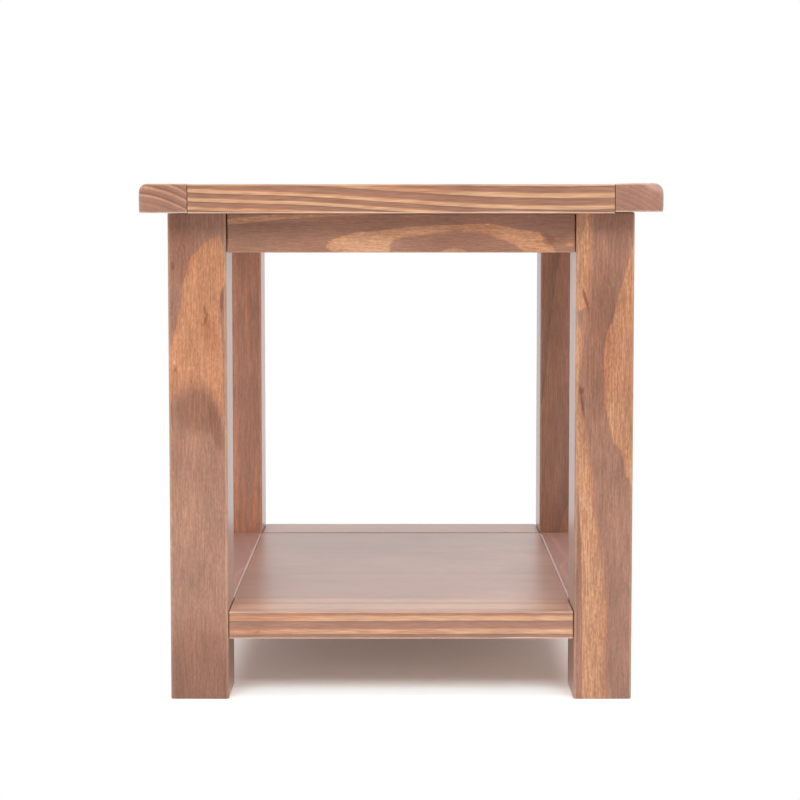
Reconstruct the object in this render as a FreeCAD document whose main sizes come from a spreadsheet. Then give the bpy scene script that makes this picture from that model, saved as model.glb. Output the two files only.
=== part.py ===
import FreeCAD, Part
import os

import Sketcher
from FreeCAD import Placement, Rotation, Vector

# End table with a lower shelf, in solid pine: a breadboard top on four square legs, aprons under the top,
# and a framed shelf between the legs. Corner blocks with hanger bolts hold the legs to the aprons, and
# dowels line up every other joint.
# The frame: +Z up, origin on the floor under the middle of the top, front towards -Y. Millimetres.

SIZES = {
    # top
    "table_height": 559,
    "top_width": 555,
    "top_depth": 555,
    "top_thick": 31,
    "end_board_width": 52,
    "end_rise_left": 0.3,  # how far an end board stands proud of the centre boards
    "end_rise_right": 1.5,
    "top_round": 6,  # rounded upper rim of the top
    "rim_corner": 7,  # the top's corners, seen from above
    "rim_arris": 1.5,  # eased lower rim of the top
    "seam_arris": 0.6,  # eased edges along the seams of the top
    # legs and aprons
    "overhang": 27,  # from the legs' outer faces to the top's edge
    "leg_side": 63,
    "leg_arris": 3,
    "apron_height": 42,
    "apron_thick": 22,
    "apron_setback": 2,  # from the legs' outer faces to the apron's face
    "apron_arris": 1.5,
    # shelf
    "shelf_top": 96,  # height of the shelf's upper face above the floor
    "shelf_thick": 30,
    "shelf_setback": 1.5,
    "shelf_end_gap": 0.8,  # between a shelf board's end and the leg
    "shelf_arris": 2,
    "panel_thick": 28,
    "panel_drop": 0.6,  # the centre panel lies this far below the boards around it
    "panel_arris": 1,
    # dowels
    "dowel_width": 8,
    "dowel_depth": 14,  # depth of the hole on each side of a joint
    "dowel_play": 1,  # a dowel is this much shorter than its two holes
    "dowel_chamfer": 1,
    "hole_clearance": 0.1,  # a hole is this much wider than what goes in it
    "apron_dowel_spread": 20,
    "shelf_dowel_spread": 26,
    "panel_dowel_inset": 30,  # from a panel board's edge to its dowel
    "panel_dowel_spread": 110,
    "end_dowel_inset": 26,  # from a top board's edge to its dowel
    # corner blocks and their fasteners
    "block_height": 36,
    "block_thick": 22,
    "block_gap": 2,  # between a corner block and the leg's inner corner
    "block_arris": 1,
    "bolt_width": 8,
    "bolt_bite": 38,  # length of the hanger bolt inside the leg
    "bolt_tail": 4,  # length of the hanger bolt beyond its nut
    "bolt_chamfer": 1,
    "washer_width": 22,
    "washer_thick": 1.6,
    "nut_flats": 13,
    "nut_thick": 6.5,
    "screw_width": 4,
    "screw_tip": 4,
    "screw_head_width": 8,
    "screw_head_thick": 3,
    "driver_width": 2.6,
    "driver_depth": 1.8,
    "head_clearance": 1,  # a screw head's recess is this much wider than the head
    "block_screw_cover": 8,  # wood between the screw's head and the apron
    "block_screw_bite": 14,
    "top_screw_recess": 12,  # depth of the recess in the block's underside
    "top_screw_bite": 17,
    "top_screw_spread": 50,
}

TOP_BOARDS = 5
PANEL_BOARDS = ("front", "middle", "back")

# Heights and faces that several pieces share, as formulas on the sheet.
LEG_TOP = "(sizes.table_height - sizes.top_thick)"
FRAME_X = "(sizes.top_width / 2 - sizes.overhang)"
FRAME_Y = "(sizes.top_depth / 2 - sizes.overhang)"
INNER_X = f"({FRAME_X} - sizes.leg_side)"
INNER_Y = f"({FRAME_Y} - sizes.leg_side)"
TOP_MIDDLE = f"({LEG_TOP} + sizes.top_thick / 2)"
SHELF_MIDDLE = "(sizes.shelf_top - sizes.shelf_thick / 2)"
HOLE_WIDTH = "(sizes.dowel_width + sizes.hole_clearance)"

# A corner's own frame has its origin on the floor below the leg's inner corner and both axes pointing
# inwards along the aprons, so that one set of places serves all four corners.
# Each corner: side of the table in X and Y, and the turn about Z that its frame has.
CORNERS = {
    "front_left": (-1, -1, 0),
    "front_right": (1, -1, 90),
    "back_right": (1, 1, 180),
    "back_left": (-1, 1, 270),
}

UPRIGHT = Rotation()
ALONG_X = Rotation(Vector(0, 0, 1), Vector(1, 0, 0))
ALONG_Y = Rotation(Vector(0, 0, 1), Vector(0, 1, 0))
BACK_X = Rotation(Vector(0, 0, 1), Vector(-1, 0, 0))
BACK_Y = Rotation(Vector(0, 0, 1), Vector(0, -1, 0))
DIAGONAL = Rotation(Vector(0, 0, 1), Vector(1, 1, 0))

doc = FreeCAD.newDocument("end_table")
sheet = doc.addObject("Spreadsheet::Sheet", "sizes")
for row, (alias, size) in enumerate(SIZES.items(), 1):
    sheet.set(f"A{row}", alias)
    sheet.set(f"B{row}", str(size))
    sheet.setAlias(f"B{row}", alias)
doc.recompute()

nodes = []


def number(formula):
    """The present value of a formula on the sheet."""
    return float(sheet.evalExpression(formula))


def place(thing, x="0", y="0", z="0", turn=UPRIGHT, prop="Placement"):
    setattr(thing, prop, Placement(Vector(), turn))
    for axis, formula in zip("xyz", (x, y, z)):
        thing.setExpression(f"{prop}.Base.{axis}", formula)


def node(thing, name):
    """Marks a finished piece, or a group of identical fasteners, as one to keep."""
    thing.Label = name
    nodes.append(thing)
    return thing


# ---------------------------------------------------------------- sketches and solids


def sketch_on(body, role):
    plane = next(f for f in body.Origin.OriginFeatures if f.Role == role)
    sketch = body.newObject("Sketcher::SketchObject", f"{body.Name}_sketch")
    sketch.AttachmentSupport = [(plane, "")]
    sketch.MapMode = "FlatFace"
    return sketch


def outline(sketch, points):
    """A closed outline whose corners are held at formulas (x, y) from the sketch's origin."""
    corners = [Vector(number(x), number(y), 0) for x, y in points]
    lines = [
        sketch.addGeometry(Part.LineSegment(start, end))
        for start, end in zip(corners, corners[1:] + corners[:1])
    ]
    for line, following in zip(lines, lines[1:] + lines[:1]):
        sketch.addConstraint(Sketcher.Constraint("Coincident", line, 2, following, 1))
    for line, corner, (x, y) in zip(lines, corners, points):
        for axis, formula, size in (("X", x, corner.x), ("Y", y, corner.y)):
            made = sketch.addConstraint(
                Sketcher.Constraint(f"Distance{axis}", -1, 1, line, 1, size)
            )
            sketch.renameConstraint(made, f"corner_{line}_{axis}")
            sketch.setExpression(f"Constraints.corner_{line}_{axis}", formula)


def padded(name, points, height):
    """An outline in the XY plane, raised to a height."""
    body = doc.addObject("PartDesign::Body", name)
    sketch = sketch_on(body, "XY_Plane")
    outline(sketch, points)
    pad = body.newObject("PartDesign::Pad", f"{name}_pad")
    pad.Profile = sketch
    pad.setExpression("Length", height)
    doc.recompute()
    return body


def turned(name, points):
    """An outline of (radius, height) corners, turned about Z."""
    body = doc.addObject("PartDesign::Body", name)
    sketch = sketch_on(body, "XZ_Plane")
    outline(sketch, points)
    revolution = body.newObject("PartDesign::Revolution", f"{name}_turning")
    revolution.Profile = sketch
    revolution.ReferenceAxis = (sketch, ["V_Axis"])
    revolution.Angle = 360
    doc.recompute()
    return body


def ease(body, radius, wanted):
    """Rounds the edges whose middles suit wanted(x, y, z), where -1 and 1 are the solid's own limits."""
    solid = body.Tip
    box = solid.Shape.BoundBox
    halves = (box.XLength / 2, box.YLength / 2, box.ZLength / 2)
    chosen = []
    for index, edge in enumerate(solid.Shape.Edges, 1):
        offset = edge.CenterOfMass - box.Center
        if wanted(*(round(at / half, 4) for at, half in zip(offset, halves))):
            chosen.append(f"Edge{index}")
    fillet = body.newObject("PartDesign::Fillet", f"{body.Name}_round")
    fillet.Base = (solid, chosen)
    fillet.setExpression("Radius", radius)
    doc.recompute()


def rectangle(length, width):
    """The corners of a rectangle centred on the origin."""
    return [
        (f"{x} * {length} / 2", f"{y} * {width} / 2")
        for x, y in ((-1, -1), (1, -1), (1, 1), (-1, 1))
    ]


def board(name, length, width, thick, x="0", y="0", z="0"):
    """A board sized along X, Y and Z, with the middle of its lower face at x, y, z."""
    body = padded(f"{name}_blank", rectangle(length, width), thick)
    place(body, x, y, z)
    return body


def cylinder(name, width, height, z="0"):
    made = doc.addObject("Part::Cylinder", name)
    made.setExpression("Radius", f"{width} / 2")
    made.setExpression("Height", height)
    place(made, z=z)
    return made


# ---------------------------------------------------------------- fasteners and their holes


def group(name, things):
    made = doc.addObject("Part::Compound", name)
    made.Links = things
    return made


def copies(name, master, spots):
    """One piece repeated at spots (x, y, z, turn)."""
    links = []
    for count, (x, y, z, turn) in enumerate(spots, 1):
        link = doc.addObject("App::Link", f"{name}_{count}")
        link.LinkedObject = master
        link.LinkTransform = True
        place(link, x, y, z, turn, prop="LinkPlacement")
        links.append(link)
    return group(name, links)


def corner_spots():
    return [
        (f"{side_x} * {INNER_X}", f"{side_y} * {INNER_Y}", "0", Rotation(Vector(0, 0, 1), turn))
        for side_x, side_y, turn in CORNERS.values()
    ]


def at_corners(name, master, spots):
    """One piece repeated at spots of the corner's own frame, in all four corners."""
    return copies(name, copies(f"{name}_of_corner", master, spots), corner_spots())


def fasteners(name, master, hole, spots, repeat):
    """A node of identical fasteners. Returns the holes that they need, in the same places."""
    node(repeat(name, master, spots), name)
    return repeat(f"{name}_holes", hole, spots)


def drilled(name, blank, *holes):
    """The blank with every hole that reaches it."""
    cut = doc.addObject("Part::Cut", name)
    cut.Base = blank
    cut.Tool = group(f"{name}_drilling", holes)
    return node(cut, name)


def rod(name, width, chamfer, low, high):
    """A round rod along Z from low to high, with both ends chamfered."""
    rim = f"({width} / 2 - {chamfer})"
    return turned(
        name,
        [
            ("0", low),
            (rim, low),
            (f"{width} / 2", f"{low} + {chamfer}"),
            (f"{width} / 2", f"{high} - {chamfer}"),
            (rim, high),
            ("0", high),
        ],
    )


def screw(name, length):
    """A pan-head screw along Z: the shank starts at the origin, the head lies below it."""
    body = turned(
        name,
        [
            ("0", "-sizes.screw_head_thick"),
            ("sizes.screw_head_width / 2", "-sizes.screw_head_thick"),
            ("sizes.screw_head_width / 2", "0"),
            ("sizes.screw_width / 2", "0"),
            ("sizes.screw_width / 2", f"{length} - sizes.screw_tip"),
            ("0", length),
        ],
    )
    driver = sketch_on(body, "XY_Plane")
    driver.setExpression("AttachmentOffset.Base.z", "-sizes.screw_head_thick")
    outline(driver, rectangle("sizes.driver_width", "sizes.driver_width"))
    recess = body.newObject("PartDesign::Pocket", f"{name}_driver")
    recess.Profile = driver
    recess.Reversed = True
    recess.setExpression("Length", "sizes.driver_depth")
    doc.recompute()
    return body


def screw_hole(name, length, reach):
    """A screw's hole: its shank's, and a recess for its head that is reach long."""
    shank = cylinder(f"{name}_shank", "(sizes.screw_width + sizes.hole_clearance)", length)
    recess_width = "(sizes.screw_head_width + sizes.head_clearance)"
    recess = cylinder(f"{name}_recess", recess_width, reach, f"-{reach}")
    hole = doc.addObject("Part::MultiFuse", name)
    hole.Shapes = [shank, recess]
    return hole


# ---------------------------------------------------------------- dowels

dowel_half = "(sizes.dowel_depth - sizes.dowel_play / 2)"
dowel = rod("dowel", "sizes.dowel_width", "sizes.dowel_chamfer", f"-{dowel_half}", dowel_half)
dowel_hole = cylinder("dowel_hole", HOLE_WIDTH, "2 * sizes.dowel_depth", "-sizes.dowel_depth")

apron_line = "(sizes.leg_side - sizes.apron_setback - sizes.apron_thick / 2)"
apron_middle = f"({LEG_TOP} - sizes.apron_height / 2)"
apron_dowel_spots = []
for side in (-1, 1):
    level = f"{apron_middle} + {side} * sizes.apron_dowel_spread / 2"
    apron_dowel_spots.append(("0", f"-{apron_line}", level, ALONG_X))
    apron_dowel_spots.append((f"-{apron_line}", "0", level, ALONG_Y))
apron_holes = fasteners("apron_dowels", dowel, dowel_hole, apron_dowel_spots, at_corners)

# The dowel nearer the leg's inner corner lies beyond the reach of the one from the next face.
near_line = "(sizes.dowel_depth + sizes.dowel_width)"
shelf_dowel_spots = []
for line in (near_line, f"({near_line} + sizes.shelf_dowel_spread)"):
    shelf_dowel_spots.append(("0", f"-{line}", SHELF_MIDDLE, ALONG_X))
    shelf_dowel_spots.append((f"-{line}", "0", SHELF_MIDDLE, ALONG_Y))
shelf_leg_holes = fasteners(
    "shelf_leg_dowels", dowel, dowel_hole, shelf_dowel_spots, at_corners
)

panel_board_width = f"(2 * {INNER_Y} / {len(PANEL_BOARDS)})"
panel_dowel_spots = []
for side in (-1, 1):
    for index in range(len(PANEL_BOARDS)):
        middle = f"({index + 0.5} * {panel_board_width} - {INNER_Y})"
        for end in (-1, 1):
            across = f"{middle} + {end} * ({panel_board_width} / 2 - sizes.panel_dowel_inset)"
            panel_dowel_spots.append((f"{side} * {INNER_X}", across, SHELF_MIDDLE, ALONG_X))
    for step in (-1, 0, 1):
        along = f"{step} * sizes.panel_dowel_spread"
        panel_dowel_spots.append((along, f"{side} * {INNER_Y}", SHELF_MIDDLE, ALONG_Y))
panel_holes = fasteners("shelf_panel_dowels", dowel, dowel_hole, panel_dowel_spots, copies)

top_board_width = f"(sizes.top_depth / {TOP_BOARDS})"
seam_x = "(sizes.top_width / 2 - sizes.end_board_width)"
end_dowel_spots = []
for side in (-1, 1):
    for index in range(TOP_BOARDS):
        middle = f"({index + 0.5} * {top_board_width} - sizes.top_depth / 2)"
        for end in (-1, 1):
            across = f"{middle} + {end} * ({top_board_width} / 2 - sizes.end_dowel_inset)"
            end_dowel_spots.append((f"{side} * {seam_x}", across, TOP_MIDDLE, ALONG_X))
end_holes = fasteners("top_end_dowels", dowel, dowel_hole, end_dowel_spots, copies)

# ---------------------------------------------------------------- corner block fasteners

block_base = f"({LEG_TOP} - sizes.block_height)"
block_middle = f"({LEG_TOP} - sizes.block_height / 2)"
apron_inside = "(sizes.leg_side - sizes.apron_setback - sizes.apron_thick)"
# The block's two long faces cross the corner at 45 degrees: along each, the two inward axes add up to this.
near_face = "(sqrt(2) * sizes.block_gap)"
far_face = "(sqrt(2) * (sizes.block_gap + sizes.block_thick))"
middle_face = f"(({near_face} + {far_face}) / 2)"

washer_at = "(sizes.block_gap + sizes.block_thick)"
nut_at = f"({washer_at} + sizes.washer_thick)"
bolt_end = f"({nut_at} + sizes.nut_thick + sizes.bolt_tail)"
bolt_hole_width = "(sizes.bolt_width + sizes.hole_clearance)"
bolt_spots = [("0", "0", block_middle, DIAGONAL)]

hanger_bolt = rod(
    "hanger_bolt", "sizes.bolt_width", "sizes.bolt_chamfer", "-sizes.bolt_bite", bolt_end
)
bolt_hole = cylinder(
    "bolt_hole", bolt_hole_width, f"sizes.bolt_bite + {bolt_end}", "-sizes.bolt_bite"
)
bolt_holes = fasteners("hanger_bolts", hanger_bolt, bolt_hole, bolt_spots, at_corners)

washer_disc = cylinder("washer_disc", "sizes.washer_width", "sizes.washer_thick", washer_at)
washer = doc.addObject("Part::Cut", "washer")
washer.Base, washer.Tool = washer_disc, bolt_hole
node(at_corners("hanger_washers", washer, bolt_spots), "hanger_washers")

nut_blank = doc.addObject("Part::Prism", "nut_blank")
nut_blank.Polygon = 6
nut_blank.setExpression("Circumradius", "sizes.nut_flats / sqrt(3)")
nut_blank.setExpression("Height", "sizes.nut_thick")
place(nut_blank, z=nut_at)
nut = doc.addObject("Part::Cut", "nut")
nut.Base, nut.Tool = nut_blank, bolt_hole
node(at_corners("hanger_nuts", nut, bolt_spots), "hanger_nuts")

block_screw_length = "(sizes.block_screw_cover + sizes.block_screw_bite)"
block_screw = screw("block_screw", block_screw_length)
block_screw_hole = screw_hole("block_screw_hole", block_screw_length, "sizes.block_thick")
screw_line = f"({apron_inside} + {middle_face})"
screw_floor = f"(sizes.block_screw_cover - {apron_inside})"
block_screw_spots = [
    (screw_line, screw_floor, block_middle, BACK_Y),
    (screw_floor, screw_line, block_middle, BACK_X),
]
block_screw_holes = fasteners(
    "corner_block_screws", block_screw, block_screw_hole, block_screw_spots, at_corners
)

top_screw_length = "(sizes.block_height - sizes.top_screw_recess + sizes.top_screw_bite)"
top_screw = screw("top_screw", top_screw_length)
top_screw_hole = screw_hole("top_screw_hole", top_screw_length, "sizes.top_screw_recess")
top_screw_spots = [
    (
        f"({middle_face} + {side} * sizes.top_screw_spread) / 2",
        f"({middle_face} - {side} * sizes.top_screw_spread) / 2",
        f"{block_base} + sizes.top_screw_recess",
        UPRIGHT,
    )
    for side in (-1, 1)
]
top_screw_holes = fasteners(
    "top_screws", top_screw, top_screw_hole, top_screw_spots, at_corners
)

# ---------------------------------------------------------------- legs and corner blocks

leg_outline = [
    ("-sizes.leg_side", "-sizes.leg_side"),
    ("0", "-sizes.leg_side"),
    ("0", "0"),
    ("-sizes.leg_side", "0"),
]
block_outline = [
    (f"{near_face} + {apron_inside}", f"-{apron_inside}"),
    (f"{far_face} + {apron_inside}", f"-{apron_inside}"),
    (f"-{apron_inside}", f"{far_face} + {apron_inside}"),
    (f"-{apron_inside}", f"{near_face} + {apron_inside}"),
]
for (corner, (side_x, side_y, _)), (x, y, _, turn) in zip(CORNERS.items(), corner_spots()):
    leg = padded(f"leg_{corner}_blank", leg_outline, LEG_TOP)
    ease(leg, "sizes.leg_arris", lambda x, y, z: True)
    place(leg, x, y, "0", turn)
    drilled(f"leg_{corner}", leg, apron_holes, shelf_leg_holes, bolt_holes)

    block = padded(f"corner_block_{corner}_blank", block_outline, "sizes.block_height")
    ease(block, "sizes.block_arris", lambda x, y, z: z == -1)
    place(block, x, y, block_base, turn)
    drilled(f"corner_block_{corner}", block, bolt_holes, block_screw_holes, top_screw_holes)

# ---------------------------------------------------------------- aprons

apron_base = f"({LEG_TOP} - sizes.apron_height)"
apron_offset = "(sizes.apron_setback + sizes.apron_thick / 2)"
apron_sizes = {
    "front": (f"2 * {INNER_X}", "sizes.apron_thick", "0", f"{apron_offset} - {FRAME_Y}"),
    "back": (f"2 * {INNER_X}", "sizes.apron_thick", "0", f"{FRAME_Y} - {apron_offset}"),
    "left": ("sizes.apron_thick", f"2 * {INNER_Y}", f"{apron_offset} - {FRAME_X}", "0"),
    "right": ("sizes.apron_thick", f"2 * {INNER_Y}", f"{FRAME_X} - {apron_offset}", "0"),
}
for side, (length, width, x, y) in apron_sizes.items():
    apron = board(f"apron_{side}", f"({length})", f"({width})", "sizes.apron_height", x, y, apron_base)
    ease(apron, "sizes.apron_arris", lambda x, y, z: z == -1)
    drilled(f"apron_{side}", apron, apron_holes, block_screw_holes)

# ---------------------------------------------------------------- top

for index in range(TOP_BOARDS):
    name = f"top_board_{index + 1}"
    middle = f"({index + 0.5} * {top_board_width} - sizes.top_depth / 2)"
    body = board(name, f"(2 * {seam_x})", top_board_width, "sizes.top_thick", "0", middle, LEG_TOP)
    outer = {0: -1, TOP_BOARDS - 1: 1}.get(index)
    if outer:
        ease(body, "sizes.top_round", lambda x, y, z: y == outer and z == 1)
        ease(body, "sizes.rim_arris", lambda x, y, z: y == outer and z == -1)
    ease(body, "sizes.seam_arris", lambda x, y, z: abs(x) == 1 and abs(z) == 1)
    drilled(name, body, end_holes, top_screw_holes)

for name, side in (("left", -1), ("right", 1)):
    body = board(
        f"top_end_{name}",
        "sizes.end_board_width",
        "sizes.top_depth",
        "sizes.top_thick",
        f"{side} * ({seam_x} + sizes.end_board_width / 2)",
        "0",
        f"{LEG_TOP} + sizes.end_rise_{name}",
    )
    ease(body, "sizes.rim_corner", lambda x, y, z: x == side and abs(y) == 1)
    ease(body, "sizes.top_round", lambda x, y, z: z == 1 and x != -side)
    ease(body, "sizes.rim_arris", lambda x, y, z: z == -1 and x != -side)
    ease(body, "sizes.seam_arris", lambda x, y, z: x == -side and abs(z) == 1)
    drilled(f"top_end_{name}", body, end_holes)

# ---------------------------------------------------------------- shelf

shelf_base = "(sizes.shelf_top - sizes.shelf_thick)"
rail_width = "(sizes.leg_side - sizes.shelf_setback)"
for name, side in (("front", -1), ("back", 1)):
    rail = board(
        f"shelf_{name}_board",
        f"(2 * ({INNER_X} - sizes.shelf_end_gap))",
        rail_width,
        "sizes.shelf_thick",
        "0",
        f"{side} * ({INNER_Y} + {rail_width} / 2)",
        shelf_base,
    )
    ease(rail, "sizes.shelf_arris", lambda x, y, z: True)
    drilled(f"shelf_{name}_board", rail, shelf_leg_holes, panel_holes)

for name, side in (("left", -1), ("right", 1)):
    rail = board(
        f"shelf_side_board_{name}",
        rail_width,
        f"(2 * ({INNER_Y} - sizes.shelf_end_gap))",
        "sizes.shelf_thick",
        f"{side} * ({INNER_X} + {rail_width} / 2)",
        "0",
        shelf_base,
    )
    ease(rail, "sizes.shelf_arris", lambda x, y, z: True)
    drilled(f"shelf_side_board_{name}", rail, shelf_leg_holes, panel_holes)

panel_base = "(sizes.shelf_top - sizes.panel_drop - sizes.panel_thick)"
for index, name in enumerate(PANEL_BOARDS):
    middle = f"({index + 0.5} * {panel_board_width} - {INNER_Y})"
    piece = f"shelf_panel_board_{name}"
    body = board(
        piece, f"(2 * {INNER_X})", panel_board_width, "sizes.panel_thick", "0", middle, panel_base
    )
    outer = {0: -1, len(PANEL_BOARDS) - 1: 1}.get(index)
    ease(body, "sizes.panel_arris", lambda x, y, z: z == 1 and (abs(x) == 1 or y == outer))
    drilled(piece, body, panel_holes)

# ---------------------------------------------------------------- checks and export

doc.recompute()
for thing in doc.Objects:
    if {"Invalid", "Error"} & set(thing.State):
        raise RuntimeError(f"{thing.Label} failed: {thing.State}")
for piece in nodes:
    if piece.Shape.isNull() or not piece.Shape.isValid() or not piece.Shape.Solids:
        raise RuntimeError(f"{piece.Label} has no valid solid")

os.makedirs("parts", exist_ok=True)
for piece in nodes:
    piece.Shape.exportStep(f"parts/{piece.Label}.step")
    print(f"{piece.Label}: {len(piece.Shape.Solids)} solid(s), {piece.Shape.Volume / 1000:.1f} cm3")
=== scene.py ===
# %% [markdown]
# # An end table with a lower shelf
# The table is solid pine, stained a mid brown and sealed with a satin lacquer. Its top is five boards
# between two end boards, on four square legs. Aprons tie the legs together under the top, and a framed
# shelf ties them near the floor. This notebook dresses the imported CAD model: it loads the model as a
# fixed frame, draws every visible board again with softer, hand-eased edges and a grain of its own,
# gives the hidden hardware its finishes, and sets up a white studio.

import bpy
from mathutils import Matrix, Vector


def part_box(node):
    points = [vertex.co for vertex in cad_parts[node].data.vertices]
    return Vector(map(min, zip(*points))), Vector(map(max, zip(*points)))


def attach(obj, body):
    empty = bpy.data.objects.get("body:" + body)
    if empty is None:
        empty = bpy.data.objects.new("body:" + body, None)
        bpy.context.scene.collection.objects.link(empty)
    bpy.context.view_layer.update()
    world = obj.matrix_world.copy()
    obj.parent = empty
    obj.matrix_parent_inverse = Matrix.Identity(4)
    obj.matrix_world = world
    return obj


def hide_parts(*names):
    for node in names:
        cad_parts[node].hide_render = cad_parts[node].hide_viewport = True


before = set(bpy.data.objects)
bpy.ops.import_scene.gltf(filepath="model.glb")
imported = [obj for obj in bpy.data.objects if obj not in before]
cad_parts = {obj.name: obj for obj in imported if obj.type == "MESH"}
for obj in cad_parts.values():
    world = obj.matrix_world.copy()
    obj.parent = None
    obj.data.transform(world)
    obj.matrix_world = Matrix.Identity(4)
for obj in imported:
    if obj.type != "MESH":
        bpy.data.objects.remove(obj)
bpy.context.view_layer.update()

# %% [markdown]
# ## Tools for the whole notebook
# Blender counts in metres and a joiner in millimetres, so one constant turns one into the other.
# Colours are written as the hex values that a paint chart gives and turned to the linear light that
# the renderer needs. Nodes are added by one small function, so that a material reads as a list of its
# steps.
#
# An input is called by its name, or by its number where several share a name. On a Map Range node,
# inputs 1 and 2 are the range that it reads, and 3 and 4 the range that it gives. On a Mix node, input
# 0 is the share, and it mixes the numbers 2 and 3 or the colours 6 and 7.

# %% Units, colours and nodes
import math
from dataclasses import dataclass
from functools import partial

import bmesh
import bpy
from mathutils import Matrix, Vector, noise

MM = 0.001


def linear(hex_colour):
    """An sRGB hex colour such as "#B07F67" as linear red, green, blue and alpha."""
    channels = [int(hex_colour[i : i + 2], 16) / 255 for i in (1, 3, 5)]
    return [c / 12.92 if c <= 0.04045 else ((c + 0.055) / 1.055) ** 2.4 for c in channels] + [1.0]


def add(tree, kind, inputs=None, **settings):
    """Adds a shader node with its settings, and sets each input to a value or links it to a node."""
    made = tree.nodes.new("ShaderNode" + kind)
    for name, value in settings.items():
        setattr(made, name, value)
    for key, value in (inputs or {}).items():
        if isinstance(value, bpy.types.Node):
            value = value.outputs[0]
        if isinstance(value, bpy.types.NodeSocket):
            tree.links.new(value, made.inputs[key])
        else:
            made.inputs[key].default_value = value
    return made


def new_material(name):
    """An empty node material and its node tree."""
    material = bpy.data.materials.new(name)
    material.use_nodes = True
    material.node_tree.nodes.clear()
    return material, material.node_tree


print("white is", linear("#FFFFFF")[:3], "and mid grey", round(linear("#808080")[0], 3))

# %% [markdown]
# ## How a board is drawn
# A planed board is a box with eased edges, and each edge is eased by a different amount: a wide
# round-over along the rim of the top, a light pass of sandpaper along a seam. Bevels can do it, one
# radius after another. Here a board is a stack of outlines instead, like the contour lines of a map:
# every height has its own outline, drawn in from the full width by what the rounding takes away
# there. So each side keeps a profile of its own, and the radius can waver along it as hand sanding does.
#
# Sanding an edge also clears the stain from it, and a rounded edge catches the light. A side
# therefore says how pale its lower and its upper edge are drawn: 0 keeps the stain, 1 is lighter wood,
# partly rubbed down and partly a painted highlight, and 2 is a pale painted highlight, the light that
# a lower edge catches from the lit floor.

# %% The profile of one side
WORN_AND_LIT_FROM = 0.12  # depth of rounding, in millimetres, from which an edge is drawn paler: sanded, and a painted highlight
WIDEST = 0.4  # share of the thickness at which a crowned side stands out furthest
HAND = 14  # waves of hand sanding in a metre


@dataclass
class Side:
    """The profile of one side of a board, in millimetres: the rounding at its foot and at its head,
    how far its middle swells, what share of the rounding wavers along the side, how far the side
    stays clear of the board next to it, and how pale its foot and its head are drawn, partly bare
    of stain and partly a painted highlight."""

    low: float = 0.3
    high: float = 0.3
    crown: float = 0.0
    waver: float = 0.0
    clear: float = 0.0
    low_bare_and_lit: float = 1.0
    high_bare_and_lit: float = 1.0

    def eased(self, height, thick, place):
        """How far the rounding draws the outline in at a height, near a place, and how pale it is drawn
        there: bare of stain and painted as lit.
        """
        wave = 1 + self.waver * noise.noise(place * HAND)
        drawn, bare_and_lit = 0.0, 0.0
        foot = (self.low * wave, height, self.low_bare_and_lit)
        head = (self.high * wave, thick - height, self.high_bare_and_lit)
        for radius, gap, left in (foot, head):
            if gap < radius:
                drawn = radius - math.sqrt(radius**2 - (radius - gap) ** 2)
                bare_and_lit = left
        return drawn, bare_and_lit if drawn > WORN_AND_LIT_FROM else 0.0

    def swell(self, height, thick):
        """How far the outline lies inside the box at the given height, before any rounding."""
        widest = WIDEST * thick
        return self.clear + self.crown * ((height - widest) / (thick - widest)) ** 2


sample = Side(low=1.5, high=6)
print("a 6 mm round draws in", round(sample.eased(30, 31, Vector())[0], 1), "mm, 1 mm below its head")

# %% [markdown]
# ### Where the outlines lie
# A rounded edge needs outlines close together, and closest where it turns into the flat. Steps of
# equal angle round the edge give just that. A flat side needs only a few, to carry its slow swell.

# %% The heights of the outlines
EASE_STEPS = 6  # outlines across one rounded edge
CLOSEST = 0.04  # millimetres that two outlines are at least apart


def heights(thick, sides, row):
    """The heights at which outlines are drawn, with flat stretches divided into rows."""
    marks = {0.0, thick}
    for side in sides:
        for step in range(1, EASE_STEPS + 1):
            rise = 1 - math.cos(math.pi / 2 * step / EASE_STEPS)
            marks |= {side.low * rise, thick - side.high * rise}
    count = max(1, round(thick / row))
    marks |= {thick * k / count for k in range(count)}
    kept = [0.0]
    for mark in sorted(marks):
        if mark - kept[-1] > CLOSEST:
            kept.append(mark)
    return kept


print("a 31 mm board is drawn at", len(heights(31, [sample], 10)), "heights")

# %% [markdown]
# ### One outline
# An outline goes round the board anticlockwise, seen from above. Its corners are arcs. Where two
# sides are drawn in by different amounts, the arc starts from both, and it keeps at least part of its
# radius however far it is drawn in. Each point carries how pale its edge is drawn there, partly
# sanded and partly a painted highlight, and the wood material reads that mark.

# %% A rounded corner
CORNER_STEPS = 6
LEAST_TURN = 0.4  # share of a corner's radius that it keeps
PALE_CORNER_FROM = 1  # radius of a corner, in millimetres, beyond which its upright edge is drawn pale too: sanded, and a painted highlight


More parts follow.
